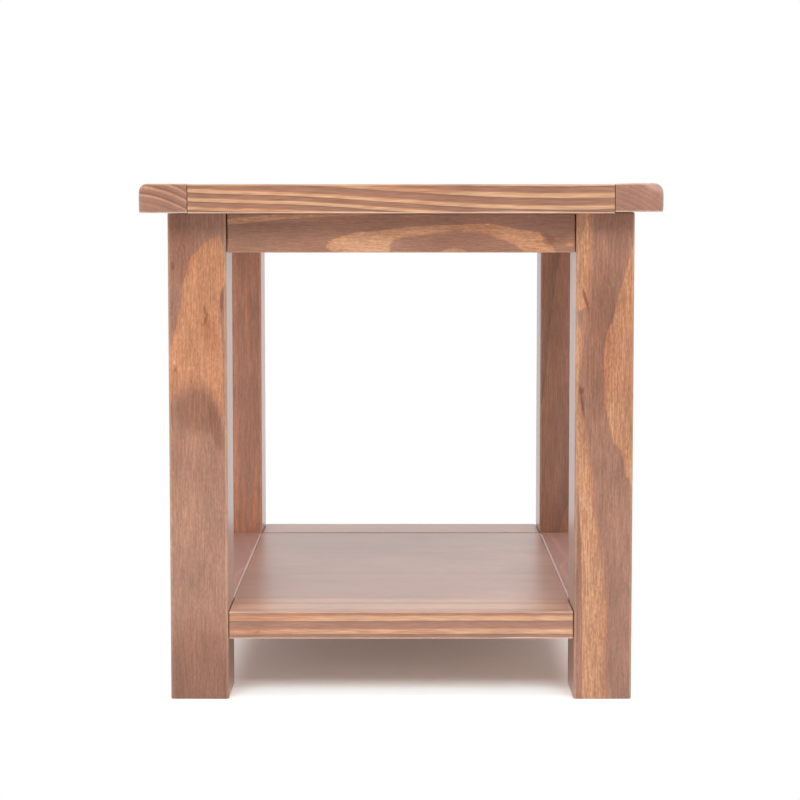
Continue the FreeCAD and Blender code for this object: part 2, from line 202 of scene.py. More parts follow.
def corner_arc(k, low, high, height, sides, radius):
    """The points of one rounded corner, with how pale their edge is drawn: corner 0 is the front left one.
    """
    front, right, back, left = sides
    x, y, side_x, side_y, sign_x, sign_y = (
        (low.x, low.y, left, front, -1, -1),
        (high.x, low.y, right, front, 1, -1),
        (high.x, high.y, right, back, 1, 1),
        (low.x, high.y, left, back, -1, 1),
    )[k]
    thick = high.z - low.z
    z = low.z + height
    place = Vector((x, y, z)) * MM
    drawn_x, bare_and_lit_x = side_x.eased(height, thick, place)
    drawn_y, bare_and_lit_y = side_y.eased(height, thick, place)
    in_x = drawn_x + side_x.swell(height, thick)
    in_y = drawn_y + side_y.swell(height, thick)
    turn = max(radius - max(in_x, in_y), LEAST_TURN * radius)
    middle_x = x - sign_x * (in_x + turn)
    middle_y = y - sign_y * (in_y + turn)
    arc = []
    for step in range(CORNER_STEPS + 1):
        angle = math.radians(180 + 90 * (k + step / CORNER_STEPS))
        bare_and_lit = max(bare_and_lit_x, bare_and_lit_y)
        if 0 < step < CORNER_STEPS and radius > PALE_CORNER_FROM:
            bare_and_lit = max(bare_and_lit, min(side_x.high_bare_and_lit, side_y.high_bare_and_lit))
        arc.append(((middle_x + turn * math.cos(angle), middle_y + turn * math.sin(angle), z), bare_and_lit))
    return arc


low, high = (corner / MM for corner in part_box("top_board_1"))
print("a corner has", len(corner_arc(0, low, high, 9, [sample] * 4, 7)), "points")

# %% [markdown]
# Between its corners, an outline has a point every couple of centimetres, so that a side can waver.
# Four corners and four sides, one after another, make the whole outline.

# %% Straight sides, and the whole outline
STATION = 22  # millimetres between points along a straight side


def along_side(k, low, high, height, side, start, end):
    """The points between two corners, with how pale their edge is drawn: side 0 is the front."""
    thick = high.z - low.z
    axis = 1 - k % 2
    count = round((Vector(end) - Vector(start)).length / STATION)
    points = []
    for step in range(1, count):
        point = Vector(start).lerp(Vector(end), step / count)
        drawn, bare_and_lit = side.eased(height, thick, point * MM)
        inset = drawn + side.swell(height, thick)
        point[axis] = (low[axis] + inset) if k in (0, 3) else (high[axis] - inset)
        points.append((tuple(point), bare_and_lit))
    return points


def outline(low, high, height, sides, corners):
    """Points of the outline at a height, with how pale their edge is drawn. Millimetres, from the front
    left corner.
    """
    arcs = [corner_arc(k, low, high, height, sides, radius) for k, radius in enumerate(corners)]
    points = []
    for k, side in enumerate(sides):
        (start, _), (end, _) = arcs[k][-1], arcs[(k + 1) % 4][0]
        points += arcs[k] + along_side(k, low, high, height, side, start, end)
    return points


whole = outline(low, high, 9, [sample] * 4, [7] * 4)
print("an outline of the top's front board has", len(whole), "points")

# %% [markdown]
# ### Rings of vertices
# In a mesh, each outline becomes a ring of vertices, which carry as an attribute how pale the edge is
# drawn, from sanding and painted highlight. The upper face will be a single polygon and take that
# paleness of its rim all over, as on a table that is sanded flat and eased in one go. The underside
# would do the same, so one more ring, just inside the lowest outline, keeps the stain there.

# %% Rings of vertices
UNDERSIDE = 1.0  # millimetres from the lowest outline to where the underside keeps its stain


def rings_of(stack, low, high, sides, corners, row, shape):
    """The outlines of a board as rings of vertices, from the lowest to the highest."""
    worn_and_lit = stack.verts.layers.float.new("worn_and_lit")
    rings = []
    for height in heights(high.z - low.z, sides, row):
        ring = []
        for point, bare_and_lit in outline(low, high, height, sides, corners):
            vert = stack.verts.new(Vector(point if shape is None else shape(point)) * MM)
            vert[worn_and_lit] = bare_and_lit
            ring.append(vert)
        rings.append(ring)
    return rings


def inner_ring(stack, ring, low, high):
    """A ring on the underside, a little inside the lowest outline."""
    middle = (low + high) / 2
    inner = []
    for outer in ring:
        vert = stack.verts.new(outer.co)
        for axis in (0, 1):
            half = (high[axis] - low[axis]) / 2
            vert.co[axis] += (middle[axis] * MM - vert.co[axis]) * UNDERSIDE / half
        inner.append(vert)
    return inner


print("the underside keeps its stain from", UNDERSIDE, "mm inside its edge")

# %% [markdown]
# ### A board from its rings
# The rings are joined, one to the next, into a closed skin. Each board gets an origin of its own at
# its middle, with local Z along its grain. One wood material then fits them all, and every board can
# lie in the trunk as the saw found it. The finished board rides on the table's only body and stands
# for its CAD node, which stays for collision.

# %% A board
HARD_EDGE = 50  # degrees from which an edge is drawn sharp
GRAIN_FRAMES = {
    "x": Matrix(((0, 0, 1), (1, 0, 0), (0, 1, 0))),
    "y": Matrix(((0, 1, 0), (0, 0, 1), (1, 0, 0))),
    "z": Matrix(((1, 0, 0), (0, 1, 0), (0, 0, 1))),
}


def board(node, grain, sides, corners=(0.3,) * 4, row=22, shape=None):
    """A board in place of a CAD node. shape may move its points, in millimetres, once it is drawn."""
    low, high = (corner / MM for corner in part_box(node))
    stack = bmesh.new()
    rings = rings_of(stack, low, high, sides, corners, row, shape)
    rings.insert(0, inner_ring(stack, rings[0], low, high))
    for below, above in zip(rings, rings[1:]):
        for i, vert in enumerate(below):
            after = (i + 1) % len(below)
            stack.faces.new((vert, below[after], above[after], above[i]))
    stack.faces.new(reversed(rings[0]))
    stack.faces.new(rings[-1])
    mesh = bpy.data.meshes.new("wood_" + node)
    stack.to_mesh(mesh)
    stack.free()
    mesh.shade_smooth()
    mesh.set_sharp_from_angle(angle=math.radians(HARD_EDGE))
    made = bpy.data.objects.new("wood_" + node, mesh)
    bpy.context.scene.collection.objects.link(made)
    made.matrix_world = Matrix.Translation((low + high) / 2 * MM) @ GRAIN_FRAMES[grain].to_4x4()
    mesh.transform(made.matrix_world.inverted())
    weigh = made.modifiers.new("flat faces stay flat", "WEIGHTED_NORMAL")
    weigh.keep_sharp = True
    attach(made, "root")
    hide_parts(node)
    return made


boards = {}
print("grain can run along", ", ".join(GRAIN_FRAMES))

# %% [markdown]
# ## Legs
# Each leg is a 63 mm square post. Its four long edges carry a 3 mm round, and its foot a small one, so
# that it doesn't splinter when the table is dragged. The head is only broken, because the top sits on
# it, and that leaves a thin line of shadow under the top. On the right the end board lies higher. The
# legs and the apron there reach up to it, so that no light shines through, and the legs' heads are
# eased more, which draws a stronger line.

# %% Legs
HAIR = 0.1  # millimetres that stay open under the right end board
LEG_ROUND = 3


def taller(node, rise):
    """A shape that stretches a board upwards by a rise, in millimetres."""
    foot, head = (corner.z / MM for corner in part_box(node))

    def shape(point):
        x, y, z = point
        return x, y, z + rise * (z - foot) / (head - foot)

    return shape


leg_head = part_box("leg_front_right")[1].z
end_board_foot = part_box("top_end_right")[0].z
RISE = round((end_board_foot - leg_head) / MM, 1) - HAIR
left_side = Side(low=1.2, high=0.7)
right_side = Side(low=1.2, high=2.4)
for depth in ("front", "back"):
    name = f"leg_{depth}_left"
    boards[name] = board(name, "z", (left_side,) * 4, (LEG_ROUND,) * 4)
    name = f"leg_{depth}_right"
    boards[name] = board(name, "z", (right_side,) * 4, (LEG_ROUND,) * 4, shape=taller(name, RISE))
print(len(boards), "legs with", len(boards["leg_front_left"].data.polygons), "faces each,",
      "the right ones", round(RISE, 2), "mm taller")

# %% [markdown]
# ## Aprons
# Four narrow rails stand between the legs, set back 2 mm so that the joint reads as a clean step.
# Their long edges are just broken. Their ends are cut square, a hair short of the legs, and the dark
# slit between them is one of the lines that the eye reads the table by.

# %% Aprons
eased = Side(low=1.5, high=1.5)
short = Side(low=0.2, high=0.2, clear=1.4)
for name in ("apron_front", "apron_back"):
    boards[name] = board(name, "x", (eased, short, eased, short), row=14)
for name in ("apron_left", "apron_right"):
    rise = RISE if name == "apron_right" else 0
    boards[name] = board(name, "y", (short, eased, short, eased), row=14, shape=taller(name, rise))

# %% [markdown]
# ## Top
# Five boards run from side to side, and an end board caps them at each end, as on a breadboard. The
# front and back edges are only eased. The end boards swell a little in the middle and are rounded
# over above, as if a hand had worn them. That broad round keeps nearly all its stain, while the lower
# edges are drawn paler, sanded and with a painted highlight for the light that they catch from the
# floor. Seams are broken with sandpaper, which leaves a fine line. The right end board sits a little
# proud of its neighbours and leans up towards its outer edge.

# %% Top boards
# Above 1, the value of a lower edge paints a pale highlight there, the light that it catches from the
# floor.
RIM = Side(low=1.6, high=8.5, crown=0.9, waver=0.15, low_bare_and_lit=1.75, high_bare_and_lit=0.2)
RIM_RIGHT = Side(low=1.6, high=10, crown=1.4, waver=0.15, low_bare_and_lit=1.75, high_bare_and_lit=0.2)
EDGE = Side(low=2.2, high=2.4, crown=0.2, waver=0.2, low_bare_and_lit=1.75)
SEAM = Side(low=0.5, high=0.8)
END = Side(low=0.6, high=0.6, clear=0.35)
RIM_CORNER = 7
SQUARE_CORNER = 0.3
TOP_ROW = 8  # millimetres between outlines on the flat of a side
LEAN = 1.2  # millimetres by which the right end board's inner edge is lowered

for k in range(1, 6):
    front = EDGE if k == 1 else SEAM
    back = EDGE if k == 5 else SEAM
    name = f"top_board_{k}"
    boards[name] = board(name, "x", (front, END, back, END), row=TOP_ROW)

end_low, end_high = (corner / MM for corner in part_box("top_end_right"))
end_width = round(end_high.x - end_low.x, 1)


def leaning(point):
    """A point of the right end board, the lower the further it lies in from the outer edge."""
    x, y, z = point
    lowered = LEAN / end_width * (end_high.x - x)
    return x, y, z - lowered * (z - end_low.z) / (end_high.z - end_low.z)


left_corners = (RIM_CORNER, SQUARE_CORNER, SQUARE_CORNER, RIM_CORNER)
right_corners = (SQUARE_CORNER, RIM_CORNER, RIM_CORNER, SQUARE_CORNER)
name = "top_end_left"
boards[name] = board(name, "y", (EDGE, END, EDGE, RIM), left_corners, row=TOP_ROW)
name = "top_end_right"
boards[name] = board(name, "y", (EDGE, RIM_RIGHT, EDGE, END), right_corners, row=TOP_ROW, shape=leaning)
top_count = sum(name.startswith("top") for name in boards)
print("the top has", top_count, "boards, and its ends are", end_width, "mm wide")

# %% [markdown]
# ## Shelf
# The shelf is a frame of four boards around a panel of three. Each frame board runs from leg to leg,
# a hair short of both. The outer edges are eased wide, and the lower ones carry a pale painted
# highlight, the light that they catch from the floor. The side boards are eased most towards the
# panel, which catches the light along those seams, and the panel is glued up so tightly that its own
# seams hardly show.

# %% Shelf boards
# The lower edges' value of 2 paints a pale highlight, the light that they catch from the floor.
soft = Side(low=2.2, high=2.2, waver=0.3, low_bare_and_lit=2)
close = Side(low=0.3, high=1)
broad = Side(low=0.3, high=3, high_bare_and_lit=0.5)
square = Side(low=0.2, high=0.2)
glued = Side(low=0.3, high=0.3)
for name, grain, sides in (
    ("shelf_front_board", "x", (soft, square, close, square)),
    ("shelf_back_board", "x", (close, square, soft, square)),
    ("shelf_side_board_left", "y", (square, broad, square, soft)),
    ("shelf_side_board_right", "y", (square, soft, square, broad)),
):
    boards[name] = board(name, grain, sides, row=10)
for place in ("front", "middle", "back"):
    name = f"shelf_panel_board_{place}"
    boards[name] = board(name, "x", (glued, square, glued, square), row=14)
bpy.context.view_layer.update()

# %% [markdown]
# ## Pine, as a trunk that boards are cut from
# Grain isn't painted on a board: it is what a saw leaves of the tree's yearly layers. So the material
# grows a trunk around each board and lets the board's faces cut it. The same field gives long stripes
# on an edge, arches on a face and arcs on end grain. The trunk is a node group, and each board sets
# the values below in its own way. Lengths are in millimetres.

# %% What a board chooses in the trunk
TRUNK = {
    "Pith X": 0.0,  # where the pith lies, from the board's middle
    "Pith Y": -80.0,
    "Taper": 0.02,  # how fast the trunk narrows, as a share of its length
    "Drift": 0.0,  # a bend of the layers that is given
    "Year": 9.0,  # width of a year's growth
    "Phase": 0.0,  # part of a year by which all layers shift
    "Luck": 1.5,  # how much the years differ in width
    "Wander": 5.0,  # how far the trunk bends over a hand's breadth
    "Wobble": 1.0,  # and over a finger's
    "Late": 0.5,  # how pale the late wood gets
    "Figure": 0.0,  # late wood that is given
    "Figured": 0.0,  # share of the given figure
    "Stain": 1.0,  # brightness of the board
    "Mark": 1.0,  # less where the stain went deeper and where shade is painted, more where it didn't and where a highlight is painted
    "Bloom": 0.0,  # how milky the lacquer is, and on some faces a painted sheen
    "Curl": 0.3,  # share of short, curly fibres
    "Fibre": 1.0,  # how much the fibres show
    "Rub": 0.4,  # how pale the eased edges are drawn: sanded, and partly a painted highlight
    "Seed": 0.0,
}
ANSWERS = {"Colour": "Color", "Late wood": "Float", "Shade": "Float", "Fibres": "Float", "Relief": "Float"}

trunk = bpy.data.node_groups.new("pine_trunk", "ShaderNodeTree")
for name, start in TRUNK.items():
    socket = trunk.interface.new_socket(name, in_out="INPUT", socket_type="NodeSocketFloat")
    socket.default_value = start
for name in ("Place", "Normal"):
    trunk.interface.new_socket(name, in_out="INPUT", socket_type="NodeSocketVector")
for name, kind in ANSWERS.items():
    trunk.interface.new_socket(name, in_out="OUTPUT", socket_type="NodeSocket" + kind)
given = trunk.nodes.new("NodeGroupInput").outputs
grow = partial(add, trunk)
print("a board makes", len(TRUNK), "choices")

# %% [markdown]
# ### A trunk that isn't straight
# No trunk is a cone. It wanders slowly, over a hand's breadth, and wobbles over a finger's, and both
# times it does so slowest along its length. Noise that is stretched along the grain moves each place a
# little before the layers are read there. The seed gives every board a noise of its own.

# %% Bend the trunk
def cloud(point, spans, detail):
    """Noise in the trunk, between 0 and 1, that changes over the given spans, in millimetres."""
    spread = grow("VectorMath", {0: point, 1: [1 / span for span in spans]}, operation="MULTIPLY")
    drawn = {"Vector": spread, "W": given["Seed"], "Scale": 1.0, "Detail": detail}
    return grow("TexNoise", drawn, noise_dimensions="4D")


in_board = grow("VectorMath", {0: given["Place"], "Scale": 1 / MM}, operation="SCALE")
bent = in_board
for spans, reach in (((70, 70, 300), given["Wander"]), ((13, 13, 90), given["Wobble"])):
    drift = cloud(in_board, spans, 1.0)
    centred = grow("VectorMath", {0: drift.outputs["Color"], 1: (0.5, 0.5, 0.5)}, operation="SUBTRACT")
    reached = grow("VectorMath", {0: centred, "Scale": reach}, operation="SCALE")
    bent = grow("VectorMath", {0: bent, 1: reached}, operation="ADD")
print("the trunk has", len(trunk.nodes), "nodes so far")

# %% [markdown]
# ### Yearly layers
# A layer is a distance from the pith. A trunk narrows upwards, so the distance also grows a little
# along the grain, and that taper is what draws arches on a flat face. Divided by the width of a year
# it counts the years, and a slow noise makes some years wide and others narrow.

# %% Count the years
pith = grow("CombineXYZ", {0: given["Pith X"], 1: given["Pith Y"]})
from_pith = grow("VectorMath", {0: bent, 1: pith}, operation="SUBTRACT")
level = grow("VectorMath", {0: from_pith, 1: (1, 1, 0)}, operation="MULTIPLY")
radius = grow("VectorMath", {0: level}, operation="LENGTH")
lengthwise = grow("SeparateXYZ", {0: bent}).outputs["Z"]
narrowed = {0: lengthwise, 1: given["Taper"], 2: radius.outputs["Value"]}
grown = grow("Math", narrowed, operation="MULTIPLY_ADD")
grown = grow("Math", {0: grown, 1: given["Drift"]}, operation="ADD")
years = grow("Math", {0: grown, 1: given["Year"]}, operation="DIVIDE")
years = grow("Math", {0: years, 1: given["Phase"]}, operation="ADD")
weather = grow("TexNoise", {"W": years, "Scale": 0.4, "Detail": 0.0}, noise_dimensions="1D")
season = grow("Math", {0: weather.outputs["Fac"], 1: given["Luck"], 2: years}, operation="MULTIPLY_ADD")
part = grow("Math", {0: season}, operation="FRACT")
print("a year is", TRUNK["Year"], "mm wide unless a board says otherwise")

# %% [markdown]
# ### Early and late wood
# Each year starts with open early wood, goes over into a dense late band, and ends at a crisp edge
# where the next year starts at once. The band isn't equally dense all along the board, so patches of
# it fade. Early wood drinks most of the stain right where the year starts. Where a board has a given
# figure, that stands in for the late bands.

# %% Early and late wood
RIPENING = (0.48, 0.72)  # parts of a year between which early wood goes over into late wood

ripens = grow("MapRange", {0: part, 1: RIPENING[0], 2: RIPENING[1]}, interpolation_type="SMOOTHSTEP")
ends = grow("MapRange", {0: part, 1: 0.96, 2: 1.0, 3: 1.0, 4: 0.0}, interpolation_type="SMOOTHSTEP")
late = grow("Math", {0: ripens, 1: ends}, operation="MULTIPLY")
patchy = cloud(in_board, (40, 40, 260), 1.0)
resists = grow("MapRange", {0: patchy.outputs["Fac"], 1: 0.4, 2: 0.6, 3: 0.55, 4: 1.0})
late = grow("Math", {0: late, 1: resists}, operation="MULTIPLY")
late = grow("Math", {0: late, 1: given["Late"]}, operation="MULTIPLY")
late = grow("Mix", {0: given["Figured"], 2: late, 3: given["Figure"]}, data_type="FLOAT")
thirsty = grow("MapRange", {0: part, 1: 0.0, 2: 0.25, 3: 0.82, 4: 1.0}, interpolation_type="SMOOTHSTEP")
year_starts = grow("Math", {0: given["Figured"], 1: thirsty}, operation="MAXIMUM")
print("late wood takes the last", round(100 * (1 - sum(RIPENING) / 2)), "percent of a year")

# %% [markdown]
# ### Fibres
# Pine's fibres are 3 to 5 mm long and 0.03 mm thick, far too fine to show, so they are drawn as coarse
# as they need to be: long ones 1.6 mm wide and 26 mm long, and curly ones that follow the bent trunk
# and give the wood its fuzzy look. Short flecks and hair lines come on top. End grain shows no fibres
# lengthwise, so they fade where a face looks along the grain.

# %% Fibres
long_fibres = cloud(in_board, (1.6, 1.6, 26), 1.0)
curly_fibres = cloud(bent, (1.1, 1.1, 5), 2.0)
curly_fibres.inputs["Distortion"].default_value = 0.5
both = {0: given["Curl"], 2: long_fibres.outputs["Fac"], 3: curly_fibres.outputs["Fac"]}
fibres = grow("Mix", both, data_type="FLOAT")
facing = grow("SeparateXYZ", {0: given["Normal"]})
end_grain = grow("Math", {0: facing.outputs["Z"]}, operation="ABSOLUTE")
shown = grow("MapRange", {0: end_grain, 1: 0.6, 2: 0.95, 3: given["Fibre"], 4: 0.2})
fibres = grow("Mix", {0: shown, 2: 0.5, 3: fibres}, data_type="FLOAT")
flecks = cloud(in_board, (1.2, 1.2, 6), 1.0)
hairs = cloud(in_board, (1.0, 1.0, 18), 0.0)
clouds = cloud(in_board, (30, 30, 90), 2.0)
dense = grow("MapRange", {0: fibres, 1: 0.36, 2: 0.6, 3: 0.7, 4: 1.1})
late = grow("Math", {0: late, 1: dense}, operation="MULTIPLY")
relief = grow("Math", {0: fibres, 1: 0.5, 2: clouds.outputs["Fac"]}, operation="MULTIPLY_ADD")
print("the trunk has", len(trunk.nodes), "nodes so far")

# %% [markdown]
# ### Stain
# The stain soaks into the early wood and turns it a dull reddish brown, while the dense late wood
# resists it and stays orange. Along the eased edges lighter wood shows, partly where sanding cut
# through the stain and partly as a painted highlight where the round catches the light. The lower
# edges get a paler painted highlight still, for the light that they catch from the lit floor. The
# value that the outlines carry picks between them: up to 1 it goes towards the sanded and lit colour,
# and beyond 1 towards the pale floor-lit one.

# %% Stained wood, rubbed edges and their painted highlight
EARLY = "#B07D64"  # early wood, which takes the stain
LATE = "#D08D64"  # dense late wood, which resists it
PALE = "#E2AF86"  # the densest late wood, nearly free of stain
BARE_AND_LIT_EDGE = "#DDAE8C"  # the eased edges: wood that sanding has cleared of stain, with a painted highlight
FLOOR_LIT_EDGE = "#FFE0C8"  # painted highlight on the lower edges, the light that they catch from the floor

wood = grow("ValToRGB", {0: late})
stops = wood.color_ramp.elements
stops[0].color, stops[1].color = linear(EARLY), linear(PALE)
stops.new(0.6).color = linear(LATE)
worn_and_lit = grow("Attribute", attribute_name="worn_and_lit")
rub_and_light = grow("Math", {0: worn_and_lit.outputs["Fac"], 1: given["Rub"]}, operation="MULTIPLY")
rubbed_and_lit = grow("Mix", {0: rub_and_light, 6: wood, 7: linear(BARE_AND_LIT_EDGE)}, data_type="RGBA")
floor_lit = grow("Math", {0: worn_and_lit.outputs["Fac"], 1: 1.0}, operation="SUBTRACT")
rubbed_and_lit = grow("Mix", {0: floor_lit, 6: rubbed_and_lit.outputs[2], 7: linear(FLOOR_LIT_EDGE)}, data_type="RGBA")
print("the stain has", len(stops), "shades, from", EARLY, "to", PALE)

# %% [markdown]
# ### Light and dark
# Many small things lighten or deepen the stain: the start of a year, drawn marks, some of which paint
# shade and a highlight instead, soft clouds, fibres, flecks and hair lines, and end grain, which
# drinks most. They are shares that multiply each other.
# Where the stain went deeper it also got redder, and raising a colour to a power does that: red, its
# strongest channel, loses least. Last comes the bloom, the milky look of lacquer that was sprayed a
# little dry, laid over the colour as a thin veil of dusty pink. On the shelf's upper faces and at the
# corner of the right end board the same veil is a painted sheen, for the pale room that the lacquer
# mirrors there.

# %% Shade, depth, bloom and painted sheen
BLOOM_AND_SHEEN = "#CBA5A6"

shade = given["Stain"]
for factor in (
    year_starts,
    grow("MapRange", {0: given["Mark"], 1: 0.0, 2: 1.5, 3: 0.6, 4: 1.2}),
    grow("MapRange", {0: clouds.outputs["Fac"], 1: 0.25, 2: 0.75, 3: 0.82, 4: 1.18}),
    grow("MapRange", {0: fibres, 1: 0.3, 2: 0.7, 3: 0.86, 4: 1.12}),
    grow("MapRange", {0: flecks.outputs["Fac"], 1: 0.66, 2: 0.8, 3: 1.0, 4: 0.82}),
    grow("MapRange", {0: hairs.outputs["Fac"], 1: 0.3, 2: 0.7, 3: 0.88, 4: 1.12}),
    grow("MapRange", {0: end_grain, 1: 0.6, 2: 0.95, 3: 1.0, 4: 0.96}),
):
    shade = grow("Math", {0: shade, 1: factor}, operation="MULTIPLY")
deeper_and_shaded = grow("Math", {0: given["Mark"], 1: -0.5, 2: 1.8}, operation="MULTIPLY_ADD")
deeper_and_shaded = grow("Math", {0: fibres, 1: -0.6, 2: deeper_and_shaded}, operation="MULTIPLY_ADD")
soaked_and_shaded = grow("Gamma", {"Color": rubbed_and_lit.outputs[2], "Gamma": deeper_and_shaded})
scaled = grow("VectorMath", {0: soaked_and_shaded, "Scale": shade}, operation="SCALE")
veiled = grow("VectorMath", {0: linear(BLOOM_AND_SHEEN)[:3], 1: scaled}, operation="SUBTRACT")
veiled = grow("VectorMath", {0: veiled, "Scale": given["Bloom"]}, operation="SCALE")
colour = grow("VectorMath", {0: veiled, 1: scaled}, operation="ADD")

answers = trunk.nodes.new("NodeGroupOutput")
for name, made in zip(ANSWERS, (colour, late, shade, fibres, relief)):
    trunk.links.new(made.outputs[0], answers.inputs[name])
print("the trunk is whole, with", len(trunk.nodes), "nodes")

# %% [markdown]
# ## Stained pine under satin lacquer
# The stain is soaked into the wood and a thin clear lacquer lies on it, rubbed to a satin sheen. A
# dielectric of IOR 1.5 with a coat does for both: seen head on the wood keeps its colour, and at a
# low angle the lacquer mirrors the pale room, which, with the sheen painted on its upper faces, is why
# the shelf looks lighter than the legs. The fibres stand up a little under the lacquer, as they do
# after a water stain, and scatter the light.

# %% Stained pine
LACQUER = 0.9  # share of the surface that the lacquer covers
RAISED = 0.1 * MM  # height of the raised grain


def trunk_in(tree, cut, place, normal):
    """The trunk in a material, cut as given. Its place and normal have the grain along Z."""
    wood = tree.nodes.new("ShaderNodeGroup")
    wood.node_tree = trunk
    tree.links.new(place, wood.inputs["Place"])
    tree.links.new(normal, wood.inputs["Normal"])
    for key, value in cut.items():
        wood.inputs[key].default_value = value
    return wood


def stained_pine(name, cut, drawing=None, lacquer=LACQUER):
    """A board's material: the trunk, cut where the board lies in it, with a figure drawn on if given."""
    material, tree = new_material("stained_pine_" + name)
    spot = add(tree, "TexCoord")
    wood = trunk_in(tree, cut, spot.outputs["Object"], spot.outputs["Normal"])
    if drawing:
        for key, value in drawing(tree).items():
            tree.links.new(value.outputs[0], wood.inputs[key])
    rough = add(tree, "MapRange", {0: wood.outputs["Fibres"], 1: 0.3, 2: 0.7, 3: 0.4, 4: 0.5})
    bump = add(tree, "Bump", {"Height": wood.outputs["Relief"], "Strength": 0.15, "Distance": RAISED})
    surface = {
        "Base Color": wood.outputs["Colour"],
        "Roughness": rough,
        "IOR": 1.5,
        "Coat Weight": lacquer,
        "Coat Roughness": 0.3,
        "Normal": bump,
    }
    add(tree, "OutputMaterial", {"Surface": add(tree, "BsdfPrincipled", surface)})
    return material


print("lacquer covers", LACQUER, "of the wood over a relief of", RAISED / MM, "mm")

# %% [markdown]
# ## Figures that the trunk can't foresee
# Around knots and where a board leaves the trunk's straight part, the late wood spreads into broad
# patches and tongues. Those of the boards that face the viewer are drawn one by one. A patch lies
# between lines on the face, each a curve through a few points: crisp where the year ended, and blurred
# where its late wood began. A few millimetres behind the face, the figure starts to give way to the
# trunk's own layers.
#
# First, the place on the face. Stain creeps along the fibres at the edge of a patch, so the place is
# frayed a little, ten millimetres along the grain and hardly at all across it.

# %% The place on a face
FRAYS = (
    ((1.5, 1.5, 40), (0, 0, 10)),
    ((9, 9, 30), (1.6, 1.6, 3)),
)  # spans of the noise and how far it moves a place, in millimetres


def spot_on(tree, frays=FRAYS):
    """The place on the board in millimetres, from its middle, with local Z along its grain."""
    place = add(tree, "TexCoord")
    point = add(tree, "VectorMath", {0: place.outputs["Object"], "Scale": 1 / MM}, operation="SCALE")
    frayed = point
    for spans, reach in frays:
        spread = add(tree, "VectorMath", {0: point, 1: [1 / span for span in spans]}, operation="MULTIPLY")
        fray = add(tree, "TexNoise", {"Vector": spread, "Scale": 1.0, "Detail": 1.0})
        centred = {0: fray.outputs["Color"], 1: (0.5, 0.5, 0.5)}
        centred = add(tree, "VectorMath", centred, operation="SUBTRACT")
        moved = add(tree, "VectorMath", {0: centred, 1: reach}, operation="MULTIPLY")
        frayed = add(tree, "VectorMath", {0: frayed, 1: moved}, operation="ADD")
    return add(tree, "SeparateXYZ", {0: frayed})


def behind_front(tree, depth, node):
    """The depth behind the front face of a board, in millimetres."""
    low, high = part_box(node)
    half = round((high.y - low.y) / 2 / MM, 2)
    return add(tree, "Math", {0: depth, 1: half}, operation="ADD")


def shifted(tree, place, behind, slope):
    """A place on the face, shifted with the depth behind it, so that a figure closes as it goes in."""
    return add(tree, "Math", {0: behind, 1: slope, 2: place}, operation="MULTIPLY_ADD")


def near_face(tree, behind, first, last):
    """The share of the figure, which fades between two depths behind the face."""
    fade = {0: behind, 1: first, 2: last, 3: 1.0, 4: 0.0}
    return add(tree, "MapRange", fade, interpolation_type="SMOOTHSTEP")


print("frays reach", max(max(reach) for _, reach in FRAYS), "mm along the grain")

# %% [markdown]
# ### Lines and streaks
# A Float Curve node holds a smooth curve through a few points, just as a joiner bends a batten round
# nails. Its box runs from 0 to 1 both ways, so the points are scaled into it and the answer is scaled
# back. One side of such a line makes the edge of a patch, and a band along it makes a streak.

# %% Lines and streaks
def curve_through(tree, along, points):
    """The height of a smooth curve through (along, across) points, at a place along it."""
    (first, _), (last, _) = points[0], points[-1]
    lowest = min(across for _, across in points)
    highest = max(across for _, across in points)
    share = add(tree, "MapRange", {0: along, 1: first, 2: last})
    drawn = add(tree, "FloatCurve", {"Value": share})
    dots = drawn.mapping.curves[0].points
    while len(dots) < len(points):
        dots.new(0.5, 0.5)
    for dot, (a, c) in zip(dots, points):
        dot.location = ((a - first) / (last - first), (c - lowest) / (highest - lowest))
    drawn.mapping.update()
    return add(tree, "MapRange", {0: drawn, 3: lowest, 4: highest})


def side_of(tree, along, across, points, blur):
    """From 0 to 1 across a line, over the blur: 1 above it, or below it where the blur is negative."""
    line = curve_through(tree, along, points)
    beyond = add(tree, "Math", {0: across, 1: line}, operation="SUBTRACT")
    edge = {0: beyond, 1: -blur / 2, 2: blur / 2}
    return add(tree, "MapRange", edge, interpolation_type="SMOOTHSTEP")


def streak_on(tree, along, across, points, width, blur):
    """From 0 to 1: a streak of the given width along a curve."""
    line = curve_through(tree, along, points)
    aside = add(tree, "Math", {0: across, 1: line}, operation="SUBTRACT")
    aside = add(tree, "Math", {0: aside}, operation="ABSOLUTE")
    band = {0: aside, 1: (width - blur) / 2, 2: (width + blur) / 2, 3: 1.0, 4: 0.0}
    return add(tree, "MapRange", band, interpolation_type="SMOOTHSTEP")


made = (curve_through, side_of, streak_on)
print("tools for lines:", ", ".join(tool.__name__ for tool in made))

# %% [markdown]
# ### Marks
# Knots, cracks, resin and drinks of stain are ovals with blurred edges, and most of them lean with
# the grain. A few marks paint shade instead, and one a highlight. A mark is given by its middle, its
# length and width, its lean, and how strongly it darkens the stain. A strength below zero makes it
# lighter instead.

# %% Marks
CORE = 0.35  # share of a mark that has its full strength


